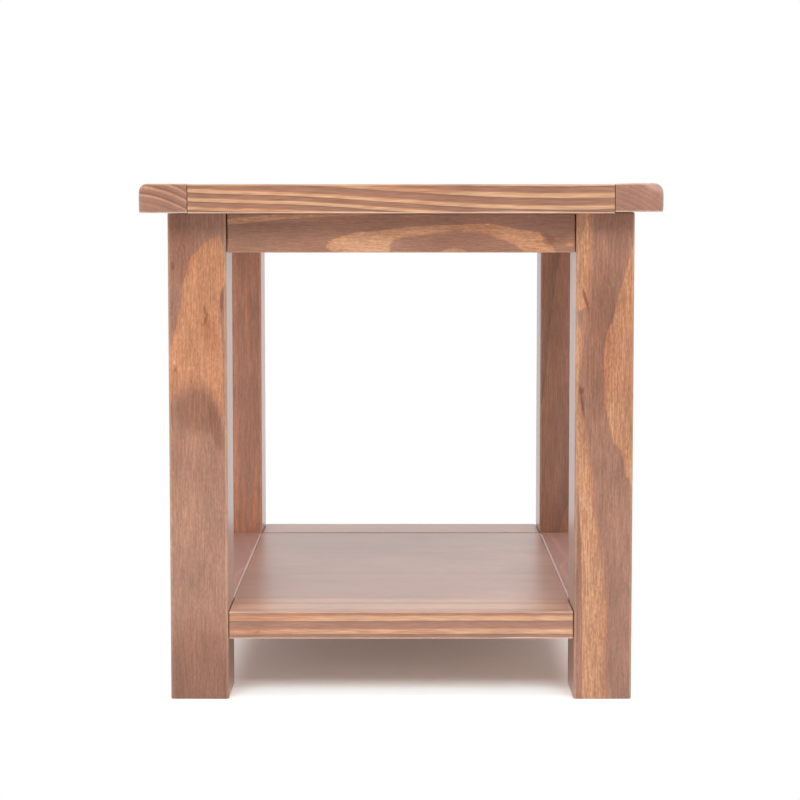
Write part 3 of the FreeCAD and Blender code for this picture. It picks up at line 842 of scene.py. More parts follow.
def mark(tree, along, across, middle, size, lean=0.0):
    """From 0 to 1: an oval mark with blurred edges, of a length along the grain and a width across."""
    apart = add(tree, "Math", {0: along, 1: middle[0]}, operation="SUBTRACT")
    aside = add(tree, "Math", {0: apart, 1: -lean, 2: -middle[1]}, operation="MULTIPLY_ADD")
    aside = add(tree, "Math", {0: across, 1: aside}, operation="ADD")
    oval = add(tree, "CombineXYZ", {0: apart, 1: aside})
    scaled = {0: oval, 1: (2 / size[0], 2 / size[1], 0)}
    scaled = add(tree, "VectorMath", scaled, operation="MULTIPLY")
    reach = add(tree, "VectorMath", {0: scaled}, operation="LENGTH")
    fade = {0: reach.outputs["Value"], 1: CORE, 2: 1.0, 3: 1.0, 4: 0.0}
    return add(tree, "MapRange", fade, interpolation_type="SMOOTHSTEP")


def shaded(tree, marks):
    """The brightness where marks of given strengths darken the wood: deeper stain, and in places painted
    shade and painted highlight.
    """
    stain = 1.0
    for found, strength in marks:
        kept = add(tree, "Math", {0: found, 1: -strength, 2: 1.0}, operation="MULTIPLY_ADD")
        stain = add(tree, "Math", {0: stain, 1: kept}, operation="MULTIPLY")
    return stain


def marked(tree, along, across, marks):
    """The brightness under marks listed as middle, size, lean and strength: deeper stain, and on the front
    left leg painted shade too.
    """
    return shaded(tree, [(mark(tree, along, across, *oval), strength) for *oval, strength in marks])


print("a mark is at full strength over", CORE, "of its reach")

# %% [markdown]
# ### The front left leg
# This leg was cut beside a branch. A broad patch of late wood lies in the upper half of its face, with
# a crisp shoulder that rises to the right and a soft arch below, and ends in a crisp rim short of the
# right edge. Small knots and resin lie in and beside it, and the stain pooled under the arch. Painted
# shade darkens the head, which lies under the top's overhang, and the foot, where the light falls off
# towards the floor, so the foot is the darkest part. The lines are in millimetres from the middle of
# the face: the shoulder and the arch run across it, and the rim along it.

# %% The front left leg
SHOULDER = [
    (-31, 112), (-29, 118), (-25, 132), (-22, 145), (-20, 156), (-17, 165), (-16, 181), (-14, 192),
    (-11, 202), (-7, 215), (-2, 220), (5, 229), (12, 234), (19, 238), (24, 240), (28, 230), (31, 205),
]
ARCH = [
    (-31, 60), (-24, 68), (-18, 75), (-8, 79), (2, 79), (10, 76), (16, 68), (21, 57), (25, 46), (30, 32),
]
PATCH_RIM = [
    (-264, 34), (20, 31), (60, 28), (100, 27), (140, 26), (160, 24), (180, 25), (192, 31), (264, 34),
]
LEFT_LEG_MARKS = [
    ((170, 26.5), (36, 6), 0.02, 0.45),  # a dark line along the patch's rim
    ((160, 8), (14, 4), -0.12, 0.5),  # two ticks of resin
    ((150, 9), (18, 6), 0.3, 0.5),
    ((138, 12), (40, 22), 0.1, 0.22),  # and the shadow under them
    ((124, 18), (30, 7), 0.25, 0.2),
    ((97, -24), (9, 5), 0.1, 0.35),  # a pin knot, dark below and pale above
    ((104, -25), (8, 3), 0.1, -0.5),
    ((208, -26), (14, 7), 0.0, 0.4),  # a second one
    ((54, 0), (70, 66), 0.0, 0.3),  # stain that pooled under the arch
    ((34, 19), (66, 18), -0.2, 0.34),
    # painted shade: the head lies under the top's overhang
    ((235, -18), (120, 56), 0.0, 0.22),  # the darker head
    ((-90, 0), (330, 300), 0.0, -0.08),  # the lighter shank
    # painted shade: the light falls off towards the floor
    ((-250, 0), (190, 140), 0.0, 0.4),  # the dark foot
]
LEG_FADE = (8, 34)  # millimetres behind the face, between which a leg's figure gives way to the trunk


def leg_left_figure(tree):
    """The patch on the front left leg, and its marks."""
    x, depth, z = spot_on(tree).outputs
    behind = behind_front(tree, depth, "leg_front_left")
    below = side_of(tree, x, shifted(tree, z, behind, 0.7), SHOULDER, -2.5)
    above = side_of(tree, x, shifted(tree, z, behind, -0.7), ARCH, 26)
    patch = add(tree, "Math", {0: below, 1: above}, operation="MULTIPLY")
    patch = add(tree, "Math", {0: patch, 1: side_of(tree, z, x, PATCH_RIM, -1.5)}, operation="MULTIPLY")
    return {
        "Figure": add(tree, "Math", {0: patch, 1: 0.6}, operation="MULTIPLY"),
        "Figured": near_face(tree, behind, *LEG_FADE),
        "Mark": marked(tree, z, x, LEFT_LEG_MARKS),
    }


print("the patch spans", max(z for _, z in SHOULDER) - min(z for _, z in ARCH), "mm of the leg")

# %% [markdown]
# ### The front right leg
# A long lobe of late wood swings in from the right side, crisp towards the middle and duller
# towards the edge. From a knot above the middle, a stripe runs down the left side and widens towards
# the foot. Above the knot the stain is deeper. The lines run along the leg.

# %% The front right leg
LOBE = [
    (-40, 36), (-32, 32), (-16, 23), (2, 20), (20, 10), (44, 4), (58, 0), (80, -1), (115, 0), (134, 2),
    (150, 9), (175, 14), (200, 22), (232, 30), (245, 36),
]
DULL_FROM = [(-60, 60), (30, 28), (90, 24), (130, 26), (250, 60)]
STRIPE_LEFT = [(-264, -22), (-120, -23.5), (-80, -25), (0, -30), (60, -31.5), (90, -34), (264, -34)]
STRIPE_RIGHT = [
    (-264, 4), (-160, 4), (-125, 0), (-80, -6), (-40, -11), (10, -17), (50, -24), (70, -27), (130, -25),
    (145, -31), (158, -34), (162, -20), (180, -18), (264, -15),
]
RIGHT_LEG_MARKS = [
    ((172, -21), (34, 5), -0.3, 0.75),  # a crack above the knot
    ((73, -25), (11, 8), 0.0, 0.6),  # the knot
    ((56, -23), (36, 3.5), -0.12, 0.55),  # its tail
    ((130, -4), (230, 46), 0.02, 0.24),  # the deeper stain beside the lobe
    ((-150, -28), (230, 8), 0.02, 0.2),  # a shadow along the lower left edge
]


def leg_right_figure(tree):
    """The lobe and the stripe on the front right leg, and its marks."""
    x, depth, z = spot_on(tree).outputs
    behind = behind_front(tree, depth, "leg_front_right")
    lobe = side_of(tree, z, shifted(tree, x, behind, -0.6), LOBE, 1.6)
    dull = add(tree, "MapRange", {0: side_of(tree, z, x, DULL_FROM, -12), 3: 0.55, 4: 0.92})
    lobe = add(tree, "Math", {0: lobe, 1: dull}, operation="MULTIPLY")
    right_of = side_of(tree, z, x, STRIPE_LEFT, 1.4)
    left_of = side_of(tree, z, shifted(tree, x, behind, 0.6), STRIPE_RIGHT, -8)
    stripe = add(tree, "Math", {0: right_of, 1: left_of}, operation="MULTIPLY")
    patch = add(tree, "Math", {0: lobe, 1: stripe}, operation="MAXIMUM")
    return {
        "Figure": add(tree, "Math", {0: patch, 1: 0.76}, operation="MULTIPLY"),
        "Figured": near_face(tree, behind, *LEG_FADE),
        "Mark": marked(tree, z, x, RIGHT_LEG_MARKS),
    }


print("the lobe is", LOBE[-1][0] - LOBE[0][0], "mm long")

# %% [markdown]
# ### The back left leg
# The back legs were cut from quiet wood. The left one has broad, even layers with a few thin tan
# streaks: one runs all the way down, and three short ones fade out at both ends.

# %% The back left leg
WHOLE_STREAK = [(-264, -5), (0, -3), (264, -4)]
SHORT_STREAKS = (
    [(-170, 4), (-130, 6), (-90, 7)],
    [(-170, 20), (-110, 22), (-60, 26)],
    [(50, 15), (120, 12), (190, 10)],
)


def leg_back_figure(tree):
    """The streaks on the back left leg."""
    x, depth, z = spot_on(tree).outputs
    patch = streak_on(tree, z, x, WHOLE_STREAK, 5, 3)
    for line in SHORT_STREAKS:
        (first, _), (last, _) = line[0], line[-1]
        within = mark(tree, z, x, ((first + last) / 2, 0), (1.3 * (last - first), 400))
        streak = {0: streak_on(tree, z, x, line, 4, 4), 1: within}
        streak = add(tree, "Math", streak, operation="MULTIPLY")
        patch = add(tree, "Math", {0: patch, 1: streak}, operation="MAXIMUM")
    return {
        "Figure": add(tree, "Math", {0: patch, 1: 0.35}, operation="MULTIPLY"),
        "Figured": near_face(tree, behind_front(tree, depth, "leg_back_left"), *LEG_FADE),
    }


print(1 + len(SHORT_STREAKS), "streaks on the back left leg")

# %% [markdown]
# ### The front apron
# A flat-sawn board shows long tongues of late wood. The apron's starts left of the middle, rises
# gently to the right and ends in a steep nose, and inside it the next year's early wood makes a dark
# heart. A faint streak crosses the upper left part, and two small patches lie in the heart and at
# the right end. The lines run along the apron.

# %% The front apron
TONGUE_TOP = [
    (-81, -16), (-79, -12), (-75, -8), (-65, -4), (-52, -1), (-44, 1), (-28, 2), (-7, 5), (15, 7), (38, 8),
    (60, 9), (75, 10), (93, 10), (107, 8), (125, 4), (140, 2), (149, 0), (152, -4), (153, -10), (156, -12),
    (162, -14), (164, -18), (166, -24),
]
TONGUE_FOOT = [(-81, -16), (-78, -18), (-72, -20), (-62, -22), (-40, -23), (166, -26)]
HEART_TOP = [
    (-12, -24), (-9, -9), (-3, -6), (13, -3), (28, -1), (42, 1), (53, 2), (67, 1), (82, 1), (93, -2),
    (104, -6), (114, -9), (122, -13), (129, -18), (134, -24),
]
CORNER_STREAK = [(-188, 12), (-143, 16), (-107, 19), (-42, 22), (20, 25)]
HEART_PATCH = [(38, -24), (46, -19), (58, -17), (70, -19), (78, -24)]
APRON_MARKS = [
    ((159, -5), (16, 13), -0.6, 0.35),  # a knot just beyond the nose
    ((148, -9), (12, 4), 0.0, 0.3),
    ((168, -6), (40, 14), 0.5, 0.12),  # and the darker wood around it
    ((175, 6), (90, 60), 0.0, 0.12),
    ((30, 1), (120, 7), 0.02, -0.14),  # the tongue's light upper band
    ((-38, -12), (110, 26), 0.0, -0.26),  # and its lightest end
    ((-140, 15), (140, 12), 0.0, -0.12),  # the streak
    ((-110, 9), (170, 7), 0.02, 0.1),  # a faint dark band below it
    ((0, 13), (200, 10), -0.02, 0.12),  # and one above the tongue
    ((60, -8), (110, 16), 0.0, 0.08),  # the heart
]


def apron_figure(tree):
    """The tongue with its heart on the front apron, and its marks."""
    depth, height, x = spot_on(tree).outputs
    under = side_of(tree, x, height, TONGUE_TOP, -1.2)
    over = side_of(tree, x, height, HEART_TOP, 3)
    tongue = add(tree, "Math", {0: under, 1: over}, operation="MULTIPLY")
    foot = side_of(tree, x, height, TONGUE_FOOT, 1.2)
    patch = add(tree, "Math", {0: tongue, 1: foot}, operation="MULTIPLY")
    for other in (
        streak_on(tree, x, height, CORNER_STREAK, 6, 1.5),
        side_of(tree, x, height, HEART_PATCH, -1.5),
        mark(tree, x, height, (181, -13), (12, 7)),
    ):
        patch = add(tree, "Math", {0: patch, 1: other}, operation="MAXIMUM")
    return {
        "Figure": add(tree, "Math", {0: patch, 1: 0.76}, operation="MULTIPLY"),
        "Figured": near_face(tree, behind_front(tree, depth, "apron_front"), 4, 16),
        "Mark": marked(tree, x, height, APRON_MARKS),
    }


print("the tongue is", TONGUE_TOP[-1][0] - TONGUE_TOP[0][0], "mm long")

# %% [markdown]
# ### The top's front board
# The board's front edge is quarter-sawn: its layers are level stripes, crisp and pale, which dip to
# the right. So no patch is drawn, only a bend of the trunk's own layers, along one line. The years
# above that line were good ones and grew nearly half wider. The upper face took more stain and shows
# its layers less.

# %% The top's front board
DIP = [(-226, 9), (-205, 8), (-108, 5), (-1, -2), (60, -6), (105, -8), (160, -9), (226, -8)]
WIDENED = 0.3  # share by which the layers above that line are drawn apart
FACE_STARTS, FACE_FULL = 1.5, 9.5  # millimetres behind the edge, where the upper face's look sets in


def top_front_drift(tree):
    """The dip of the layers on the front edge, and the darker upper face."""
    depth, height, x = spot_on(tree, frays=()).outputs
    behind = behind_front(tree, depth, "top_board_1")
    dip = curve_through(tree, x, DIP)
    above = add(tree, "Math", {0: height, 1: dip}, operation="SUBTRACT")
    above = add(tree, "Math", {0: above, 1: 0.0}, operation="MAXIMUM")
    return {
        "Drift": add(tree, "Math", {0: above, 1: WIDENED, 2: dip}, operation="MULTIPLY_ADD"),
        "Mark": add(tree, "MapRange", {0: behind, 1: FACE_STARTS, 2: FACE_FULL, 3: 1.0, 4: 0.85}),
        "Late": add(tree, "MapRange", {0: behind, 1: FACE_STARTS, 2: FACE_FULL, 3: 1.5, 4: 0.6}),
    }


print("the layers dip by", DIP[0][1] - DIP[-1][1], "mm")

# %% [markdown]
# ### The top's left end board
# Its front end shows end grain: the year rings themselves, as arcs that fall to the right. Three pale
# arcs of late wood stand out, each with a shadow above it where the next year's early wood drank the
# stain, and a pale spot lies on the middle one.

# %% The top's left end board
ARCS = (
    # line across the end, width, blur
    ([(-26, 4), (-8, 1), (9, -5), (26, -13)], 2.2, 1.2),
    ([(-24, 13), (-6, 9), (10, 4), (26, -4)], 3.4, 2),
    ([(-4, 22), (6, 14), (16, 10), (26, 4)], 2.4, 1.5),
)
SHADOW_RISE = 2.6  # millimetres from an arc up to its shadow


def top_end_left_figure(tree):
    """Arcs of late wood on the end grain, and their shadows."""
    height, across, along = spot_on(tree, frays=()).outputs
    patch = mark(tree, across, height, (-12, 11), (14, 5))
    for line, width, blur in ARCS:
        arc = streak_on(tree, across, height, line, width, blur)
        patch = add(tree, "Math", {0: patch, 1: arc}, operation="MAXIMUM")
    shadows = []
    for line, _, _ in ARCS:
        raised = [(place, level + SHADOW_RISE) for place, level in line]
        shadows.append((streak_on(tree, across, height, raised, 2, 2), 0.3))
    near = near_face(tree, behind_front(tree, along, "top_end_left"), 15, 60)
    return {
        "Figure": add(tree, "Math", {0: patch, 1: 0.9}, operation="MULTIPLY"),
        "Figured": add(tree, "Math", {0: near, 1: 0.75}, operation="MULTIPLY"),
        "Mark": shaded(tree, shadows),
    }


print(len(ARCS), "arcs on the left end grain")

# %% [markdown]
# ### The top's right end board
# The whole board has a faint milky bloom. At the rounded upper corner of its front end a painted
# highlight, the pale pink sheen of the round-over mirroring the room, makes the wood both lighter and
# pinker.

# %% The top's right end board
VEIL = 0.12  # bloom of the whole board
CORNER_SHEEN = 0.6  # and the painted sheen at its corner, where the round-over mirrors the room


def top_end_right_figure(tree):
    """A painted highlight at the rounded upper corner of the right end board's front end."""
    height, across, along = spot_on(tree, frays=()).outputs
    corner = mark(tree, across, height, (18, 14), (44, 20), -0.3)
    near = near_face(tree, behind_front(tree, along, "top_end_right"), 4, 40)
    corner = add(tree, "Math", {0: corner, 1: near}, operation="MULTIPLY")
    return {
        "Bloom": add(tree, "MapRange", {0: corner, 3: VEIL, 4: CORNER_SHEEN}),
        # the corner is lightened too: a painted highlight
        "Mark": shaded(tree, [(corner, -0.5)]),
    }


print("bloom rises from", VEIL, "to", CORNER_SHEEN, "at the corner")

# %% [markdown]
# ### The shelf
# The shelf's upper faces carry a painted sheen, a pale pink veil that stands for the room as the
# lacquer mirrors it at a low angle, and the sides hardly any. The front board's edge shows level
# stripes, and its upper face two darker bands with a lighter one between them. Each side board has
# one lighter streak, and the panel took less stain towards the right.

# %% The shelf
UPPER_FACE = 15  # millimetres from a shelf board's middle up to its face
FRONT_BOARD_MARKS = [
    ((0, 9), (1400, 12), 0.0, 0.4),
    ((0, -23), (1400, 11), 0.0, 0.4),
    ((0, -8), (1400, 24), 0.0, -0.15),
]
LEFT_STREAK = [(-187, 28), (-78, 22), (9, 31), (79, 24), (120, 17), (187, 4)]
RIGHT_STREAK = [(-187, -16), (-41, -22), (-8, -19), (26, -11), (62, -13), (110, -14), (187, -20)]


def upper_face_sheen(tree, height, most):
    """How much painted sheen a shelf board has: most on its upper face, and hardly any on its sides."""
    return add(tree, "MapRange", {0: height, 1: UPPER_FACE - 2.5, 2: UPPER_FACE - 0.5, 3: 0.05, 4: most})


def shelf_front_figure(tree):
    """Bands on the upper face, stripes on the edge with a small knot in them, and the bloom."""
    depth, height, x = spot_on(tree, frays=()).outputs
    behind = behind_front(tree, depth, "shelf_front_board")
    bands = [(mark(tree, x, depth, *oval), strength) for *oval, strength in FRONT_BOARD_MARKS]
    knot = (mark(tree, x, height, (-156, -7), (9, 5), 0.4), 0.3)
    return {
        "Mark": shaded(tree, bands + [knot]),
        "Late": add(tree, "MapRange", {0: behind, 1: 1.75, 2: 6.75, 3: 1.28, 4: 0.55}),
        "Bloom": upper_face_sheen(tree, height, 0.2),
    }


def shelf_back_figure(tree):
    """The bloom on the back board."""
    height = spot_on(tree, frays=()).outputs[1]
    return {"Bloom": upper_face_sheen(tree, height, 0.36)}


def shelf_side_figure(line):
    """The figure of a side board, with its streak along a line."""

    def figure(tree):
        height, across, along = spot_on(tree).outputs
        level = spot_on(tree, frays=()).outputs[0]
        return {
            "Figure": streak_on(tree, along, across, line, 7, 4),
            "Figured": add(tree, "MapRange", {0: height, 1: 4, 2: 9}),
            "Bloom": upper_face_sheen(tree, level, 0.58),
        }

    return figure


def shelf_panel_figure(tree):
    """Less stain towards the right."""
    across, _, along = spot_on(tree, frays=()).outputs
    return {"Mark": marked(tree, along, across, [((190, 0), (340, 2000), 0.0, -0.34)])}


print("bloom starts", UPPER_FACE - 2.5, "mm above the middle of a shelf board")

# %% [markdown]
# ## Each board's place in the trunk
# A joiner picks boards for the face they will show. The pith lies far behind a flat-sawn face, and
# above the front boards of the top and the shelf, so that their edges show level stripes. Each kind
# of board has its usual place and stain, and some boards differ: the legs behind are quieter than
# those in front, the boards with a drawn figure are placed to suit it, and the arches on the top
# point left and right by turns, so that no two boards look alike.

# %% The usual cut of each kind of board, and what single boards change
USUAL = {
    "leg": {"Pith X": 15, "Pith Y": 110, "Year": 16, "Wander": 12, "Taper": 0.03},
    "apron": {"Pith X": 60, "Pith Y": -20, "Year": 12, "Wander": 6, "Curl": 0.8, "Fibre": 0.6},
    "top": {
        "Pith X": 10, "Pith Y": -90, "Year": 8, "Wander": 7, "Taper": 0.015,
        "Rub": 0.6, "Curl": 0.15, "Fibre": 0.7,
    },
    # The shelf's veil of dusty pink is partly bloom and partly a painted sheen of the pale room.
    "shelf": {
        "Pith X": 0, "Pith Y": 150, "Year": 30, "Wander": 14, "Taper": 0.01, "Late": 0.08,
        "Rub": 0.6, "Curl": 0.2, "Stain": 0.86, "Fibre": 0.45, "Bloom": 0.36,
    },
}
STRAIGHT = {"Taper": 0, "Luck": 0}  # even years that keep their place all along the board
CUTS = {
    "leg_front_left": {"Curl": 0.75, "Stain": 1.05, "Fibre": 0.85},
    "leg_front_right": {"Curl": 0.6, "Stain": 0.96},
    "leg_back_left": {
        "Stain": 1.48, "Late": 0.06, "Year": 60, "Fibre": 0.75, "Curl": 0.6, "Bloom": 0.06,
    },
    "leg_back_right": {"Late": 0.15, "Fibre": 0.7, "Curl": 0.6},
    "top_board_1": STRAIGHT | {
        "Pith X": -50, "Pith Y": 95, "Year": 9, "Phase": 0.14, "Wander": 1.5, "Wobble": 0.8,
        "Late": 1.5, "Rub": 1.2, "Fibre": 0.5, "Stain": 0.97,
    },
    "top_board_2": {"Pith X": -12, "Pith Y": -42, "Year": 6.5, "Taper": 0.03, "Stain": 1.03},
    "top_board_3": {"Pith X": 20, "Pith Y": -60, "Year": 8, "Taper": -0.025, "Stain": 0.94},
    "top_board_4": {"Pith X": -5, "Pith Y": -38, "Year": 6, "Taper": 0.025},
    "top_board_5": {"Pith X": 30, "Pith Y": -55, "Year": 7, "Taper": -0.03, "Stain": 0.96},
    "top_end_left": STRAIGHT | {
        "Pith X": -127, "Pith Y": -40, "Year": 8.6, "Phase": 0.48, "Wander": 1, "Wobble": 0.5,
        "Late": 0.9, "Bloom": 0.1, "Stain": 0.93,
    },
    "top_end_right": {
        "Pith X": -134, "Pith Y": -68, "Year": 5.5, "Wander": 2, "Wobble": 0.5, "Taper": 0,
        "Late": 0.3, "Stain": 0.98,
    },
    "shelf_front_board": STRAIGHT | {
        "Pith X": -20, "Pith Y": 106.5, "Year": 14.5, "Phase": 0.95, "Wander": 2, "Wobble": 1.5,
        "Late": 1.35, "Rub": 1.1, "Stain": 1.06, "Fibre": 0.4,
    },
    "shelf_back_board": {"Stain": 1.05},
    "shelf_side_board_left": {"Stain": 1.08},
    "shelf_side_board_right": {"Stain": 1.3},
}
print(len(CUTS), "boards differ from their kind")

# %% [markdown]
# ### Cutting the boards
# Every board now gets a material of its own: its kind's cut, its own changes, its figure if it has
# one, and a seed. The shelf, where the lacquer went on half dry, is covered by less of it.

# %% Cut every board
SHELF_LACQUER = 0.75
SEED_STEP = 7.0  # far enough for each board to have noise of its own
FIGURES = {
    "leg_front_left": leg_left_figure,
    "leg_front_right": leg_right_figure,
    "leg_back_left": leg_back_figure,
    "apron_front": apron_figure,
    "top_board_1": top_front_drift,
    "top_end_left": top_end_left_figure,
    "top_end_right": top_end_right_figure,
    "shelf_front_board": shelf_front_figure,
    "shelf_back_board": shelf_back_figure,
    "shelf_side_board_left": shelf_side_figure(LEFT_STREAK),
    "shelf_side_board_right": shelf_side_figure(RIGHT_STREAK),
    "shelf_panel_board_front": shelf_panel_figure,
    "shelf_panel_board_middle": shelf_panel_figure,
    "shelf_panel_board_back": shelf_panel_figure,
}
for number, (name, piece) in enumerate(boards.items()):
    kind = name.split("_")[0]
    cut = USUAL[kind] | CUTS.get(name, {}) | {"Seed": number * SEED_STEP}
    lacquer = SHELF_LACQUER if kind == "shelf" else LACQUER
    piece.data.materials.append(stained_pine(name, cut, FIGURES.get(name), lacquer))
print(len(boards), "boards finished,", len(FIGURES), "of them with a figure of their own")

# %% [markdown]
# ## Raw pine
# Nobody stains what only the floor sees. The corner blocks are raw pine, sawn and left: pale, dull
# and a little rough. They are cut across the corner, so their grain runs at 45 degrees to the aprons.
# The same trunk serves, without its stain: it is laid level, turned about the upright axis, and its
# early and late wood get the colours of raw pine.

# %% Raw pine
RAW_EARLY = "#E2C69C"
RAW_LATE = "#C99A68"
SAWN = 0.2 * MM  # height of the rough grain that the saw leaves
UPRIGHT = 90  # degrees that tip the trunk's length from upright to level


def raw_pine(name, turn):
    """Raw pine for a CAD node, whose grain lies level and is turned about the upright axis."""
    material, tree = new_material(name)
    spot = add(tree, "TexCoord")
    laid = {"Rotation": (math.radians(UPRIGHT), 0, math.radians(turn))}
    place = add(tree, "Mapping", {0: spot.outputs["Object"], **laid}, vector_type="TEXTURE")
    normal = add(tree, "Mapping", {0: spot.outputs["Normal"], **laid}, vector_type="TEXTURE")
    wood = trunk_in(tree, {"Year": 5, "Late": 0.9, "Curl": 0.2}, place.outputs[0], normal.outputs[0])
    mixed = {0: wood.outputs["Late wood"], 6: linear(RAW_EARLY), 7: linear(RAW_LATE)}
    colour = add(tree, "Mix", mixed, data_type="RGBA")
    scaled = {0: colour.outputs[2], "Scale": wood.outputs["Shade"]}
    scaled = add(tree, "VectorMath", scaled, operation="SCALE")
    bump = add(tree, "Bump", {"Height": wood.outputs["Relief"], "Strength": 0.3, "Distance": SAWN})
    surface = {"Base Color": scaled, "Roughness": 0.62, "IOR": 1.5, "Normal": bump}
    add(tree, "OutputMaterial", {"Surface": add(tree, "BsdfPrincipled", surface)})
    return material


blocks = {45: raw_pine("raw_pine_a", 45), -45: raw_pine("raw_pine_b", -45)}
print("raw pine is cut at", list(blocks), "degrees")

# %% [markdown]
# ## Beech
# Dowels are turned from beech, which is pinkish, hard and even. Its rays show as short dark flecks
# about a millimetre long. The dowels are glued in and never seen, so a simple noise does for them.

# %% Beech
RAY_FLECK = 1.1 * MM


def beech_dowel():
    """Beech, with the short dark flecks of its rays."""
    material, tree = new_material("beech_dowel")
    spot = add(tree, "TexCoord")
    fine = {"Vector": spot.outputs["Object"], "Scale": 1 / RAY_FLECK, "Detail": 2.0}
    flecks = add(tree, "MapRange", {0: add(tree, "TexNoise", fine), 1: 0.55, 2: 0.75})
    colour = add(tree, "Mix", {0: flecks, 6: linear("#D8B08A"), 7: linear("#A97C5B")}, data_type="RGBA")
    surface = {"Base Color": colour.outputs[2], "Roughness": 0.55, "IOR": 1.5}
    add(tree, "OutputMaterial", {"Surface": add(tree, "BsdfPrincipled", surface)})
    return material


beech = beech_dowel()
print("beech flecks are", RAY_FLECK / MM, "mm long")

# %% [markdown]
# ## Zinc-plated steel
# Bolts, washers, nuts and screws are steel with a thin bright coat of zinc, plated in a tumbling
# barrel. That leaves it bluish and unevenly bright, in spots a few millimetres wide: a metal, so it
# mirrors the room, with a gloss that varies from spot to spot.

# %% Zinc-plated steel
SPOT = 2.5 * MM


def zinc_plated_steel():
    """Bright zinc on steel: a bluish metal whose gloss varies in spots."""
    material, tree = new_material("zinc_plated_steel")
    spot = add(tree, "TexCoord")
    spots = add(tree, "TexNoise", {"Vector": spot.outputs["Object"], "Scale": 1 / SPOT, "Detail": 3.0})
    colour = add(tree, "Mix", {0: spots, 6: linear("#B9BDBE"), 7: linear("#D2D5D4")}, data_type="RGBA")
    rough = add(tree, "MapRange", {0: spots, 1: 0.3, 2: 0.7, 3: 0.25, 4: 0.42})
    surface = {"Base Color": colour.outputs[2], "Roughness": rough, "Metallic": 1.0}
    add(tree, "OutputMaterial", {"Surface": add(tree, "BsdfPrincipled", surface)})
    return material


zinc = zinc_plated_steel()
print("zinc's spots are", SPOT / MM, "mm wide")

# %% [markdown]
# ## Finishing the hidden pieces
# The blocks, dowels and hardware keep their CAD meshes, whose shape is right as it is. Only their
# material slots change. Two blocks that lie across from each other have their grain the same way.

# %% Finish the hidden pieces
ONE_WAY = ("corner_block_front_left", "corner_block_back_right")
for name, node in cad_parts.items():
    if node.hide_render:
        continue
    if name.startswith("corner_block") and name != "corner_block_screws":
        finish = blocks[45 if name in ONE_WAY else -45]
    else:
        finish = beech if "dowel" in name else zinc
    node.data.materials.clear()
    node.data.materials.append(finish)
    print(name, "is", finish.name)

# %% [markdown]
# ## Camera
# Furniture is shown from the front, with its uprights upright. A lens of some 74 mm, two metres away,
# keeps the back legs nearly as large as the front ones. The camera stands a little lower than the
# table top and looks down a little, so that the top shows only its edge, and the shelf its face. A
# small shift of the lens frames the table without tilting the camera further, which would make the
# legs converge.

# %% Camera
FOCAL_LENGTH = 73.54
LENS_SHIFT = -0.12
LOOKS_DOWN = 3.321  # degrees

lens = bpy.data.cameras.new("camera")
lens.lens = FOCAL_LENGTH
lens.sensor_width = 36
lens.shift_y = LENS_SHIFT
camera = bpy.data.objects.new("camera", lens)
bpy.context.scene.collection.objects.link(camera)
camera.location = Vector((-1.2, -2001.7, 532.5)) * MM
camera.rotation_euler = (math.radians(90 - LOOKS_DOWN), 0, 0)
bpy.context.scene.camera = camera
print("the camera looks down", LOOKS_DOWN, "degrees from", round(camera.location.z, 3), "m")

# %% [markdown]
# ## White studio
# Two large softboxes light the table: one in front and above, and one overhead. Both are wider than
# the table, so they cast no hard shadow. They are hidden from the camera and from reflections, because
# the lacquer should mirror the white room and not the lamps.

# %% Lamps
def softbox(name, middle, target, width, height, power):
    """A rectangular lamp, in metres and watts, turned to its target."""
    data = bpy.data.lights.new(name, "AREA")
    data.shape = "RECTANGLE"
    data.size = width
    data.size_y = height
    data.energy = power
    lamp = bpy.data.objects.new(name, data)
    bpy.context.scene.collection.objects.link(lamp)
    lamp.location = middle
    lamp.rotation_mode = "QUATERNION"
    lamp.rotation_quaternion = (Vector(middle) - Vector(target)).to_track_quat("Z", "Y")
    lamp.visible_camera = False
    lamp.visible_glossy = False
    return lamp


lamps = [
    softbox("front_softbox", (0, -1.75, 1.95), (0, -0.25, 0.3), 2.6, 0.95, 30),
    softbox("top_softbox", (0, 0, 2.8), (0, 0, 0.3), 2.4, 2.4, 20),
]
print(len(lamps), "lamps of", sum(lamp.data.energy for lamp in lamps), "watts")

# %% [markdown]
# ### The room
# The room around the table shows white, straight on or in the lacquer, but it gives only a soft light.
# Light Path tells the two apart: camera, glossy and transmission rays see the walls, and all others
# meet the dimmer light. Only behind the camera is the room unlit, so reflections of that side are
# darker. That gives the fronts of the boards their depth.

# %% The room
UNLIT = 0.25  # brightness of the side behind the camera, as reflections find it
ROOM_LIGHT = 0.45  # strength of the room's light on the table


def seen_by(tree):
    """Whether a ray shows a surface to the eye, by any way, and whether it is the camera's own."""
    ray = add(tree, "LightPath").outputs
    seen = add(tree, "Math", {0: ray["Is Camera Ray"], 1: ray["Is Glossy Ray"]}, operation="MAXIMUM")
    seen = add(tree, "Math", {0: seen, 1: ray["Is Transmission Ray"]}, operation="MAXIMUM")
    return seen, ray["Is Camera Ray"]


world = bpy.data.worlds.new("white_room")
bpy.context.scene.world = world
world.use_nodes = True
world.node_tree.nodes.clear()
room = partial(add, world.node_tree)
seen, by_camera = seen_by(world.node_tree)
towards = room("SeparateXYZ", {0: room("TexCoord").outputs["Generated"]})
wall = room("MapRange", {0: towards.outputs["Y"], 1: -0.7, 2: -0.1, 3: UNLIT, 4: 1.0})
wall = room("Math", {0: wall, 1: by_camera}, operation="MAXIMUM")
strength = room("Mix", {0: seen, 2: ROOM_LIGHT, 3: wall}, data_type="FLOAT")
room("OutputWorld", {"Surface": room("Background", {"Color": (1, 1, 1, 1), "Strength": strength})})
print("the room gives light of strength", ROOM_LIGHT)

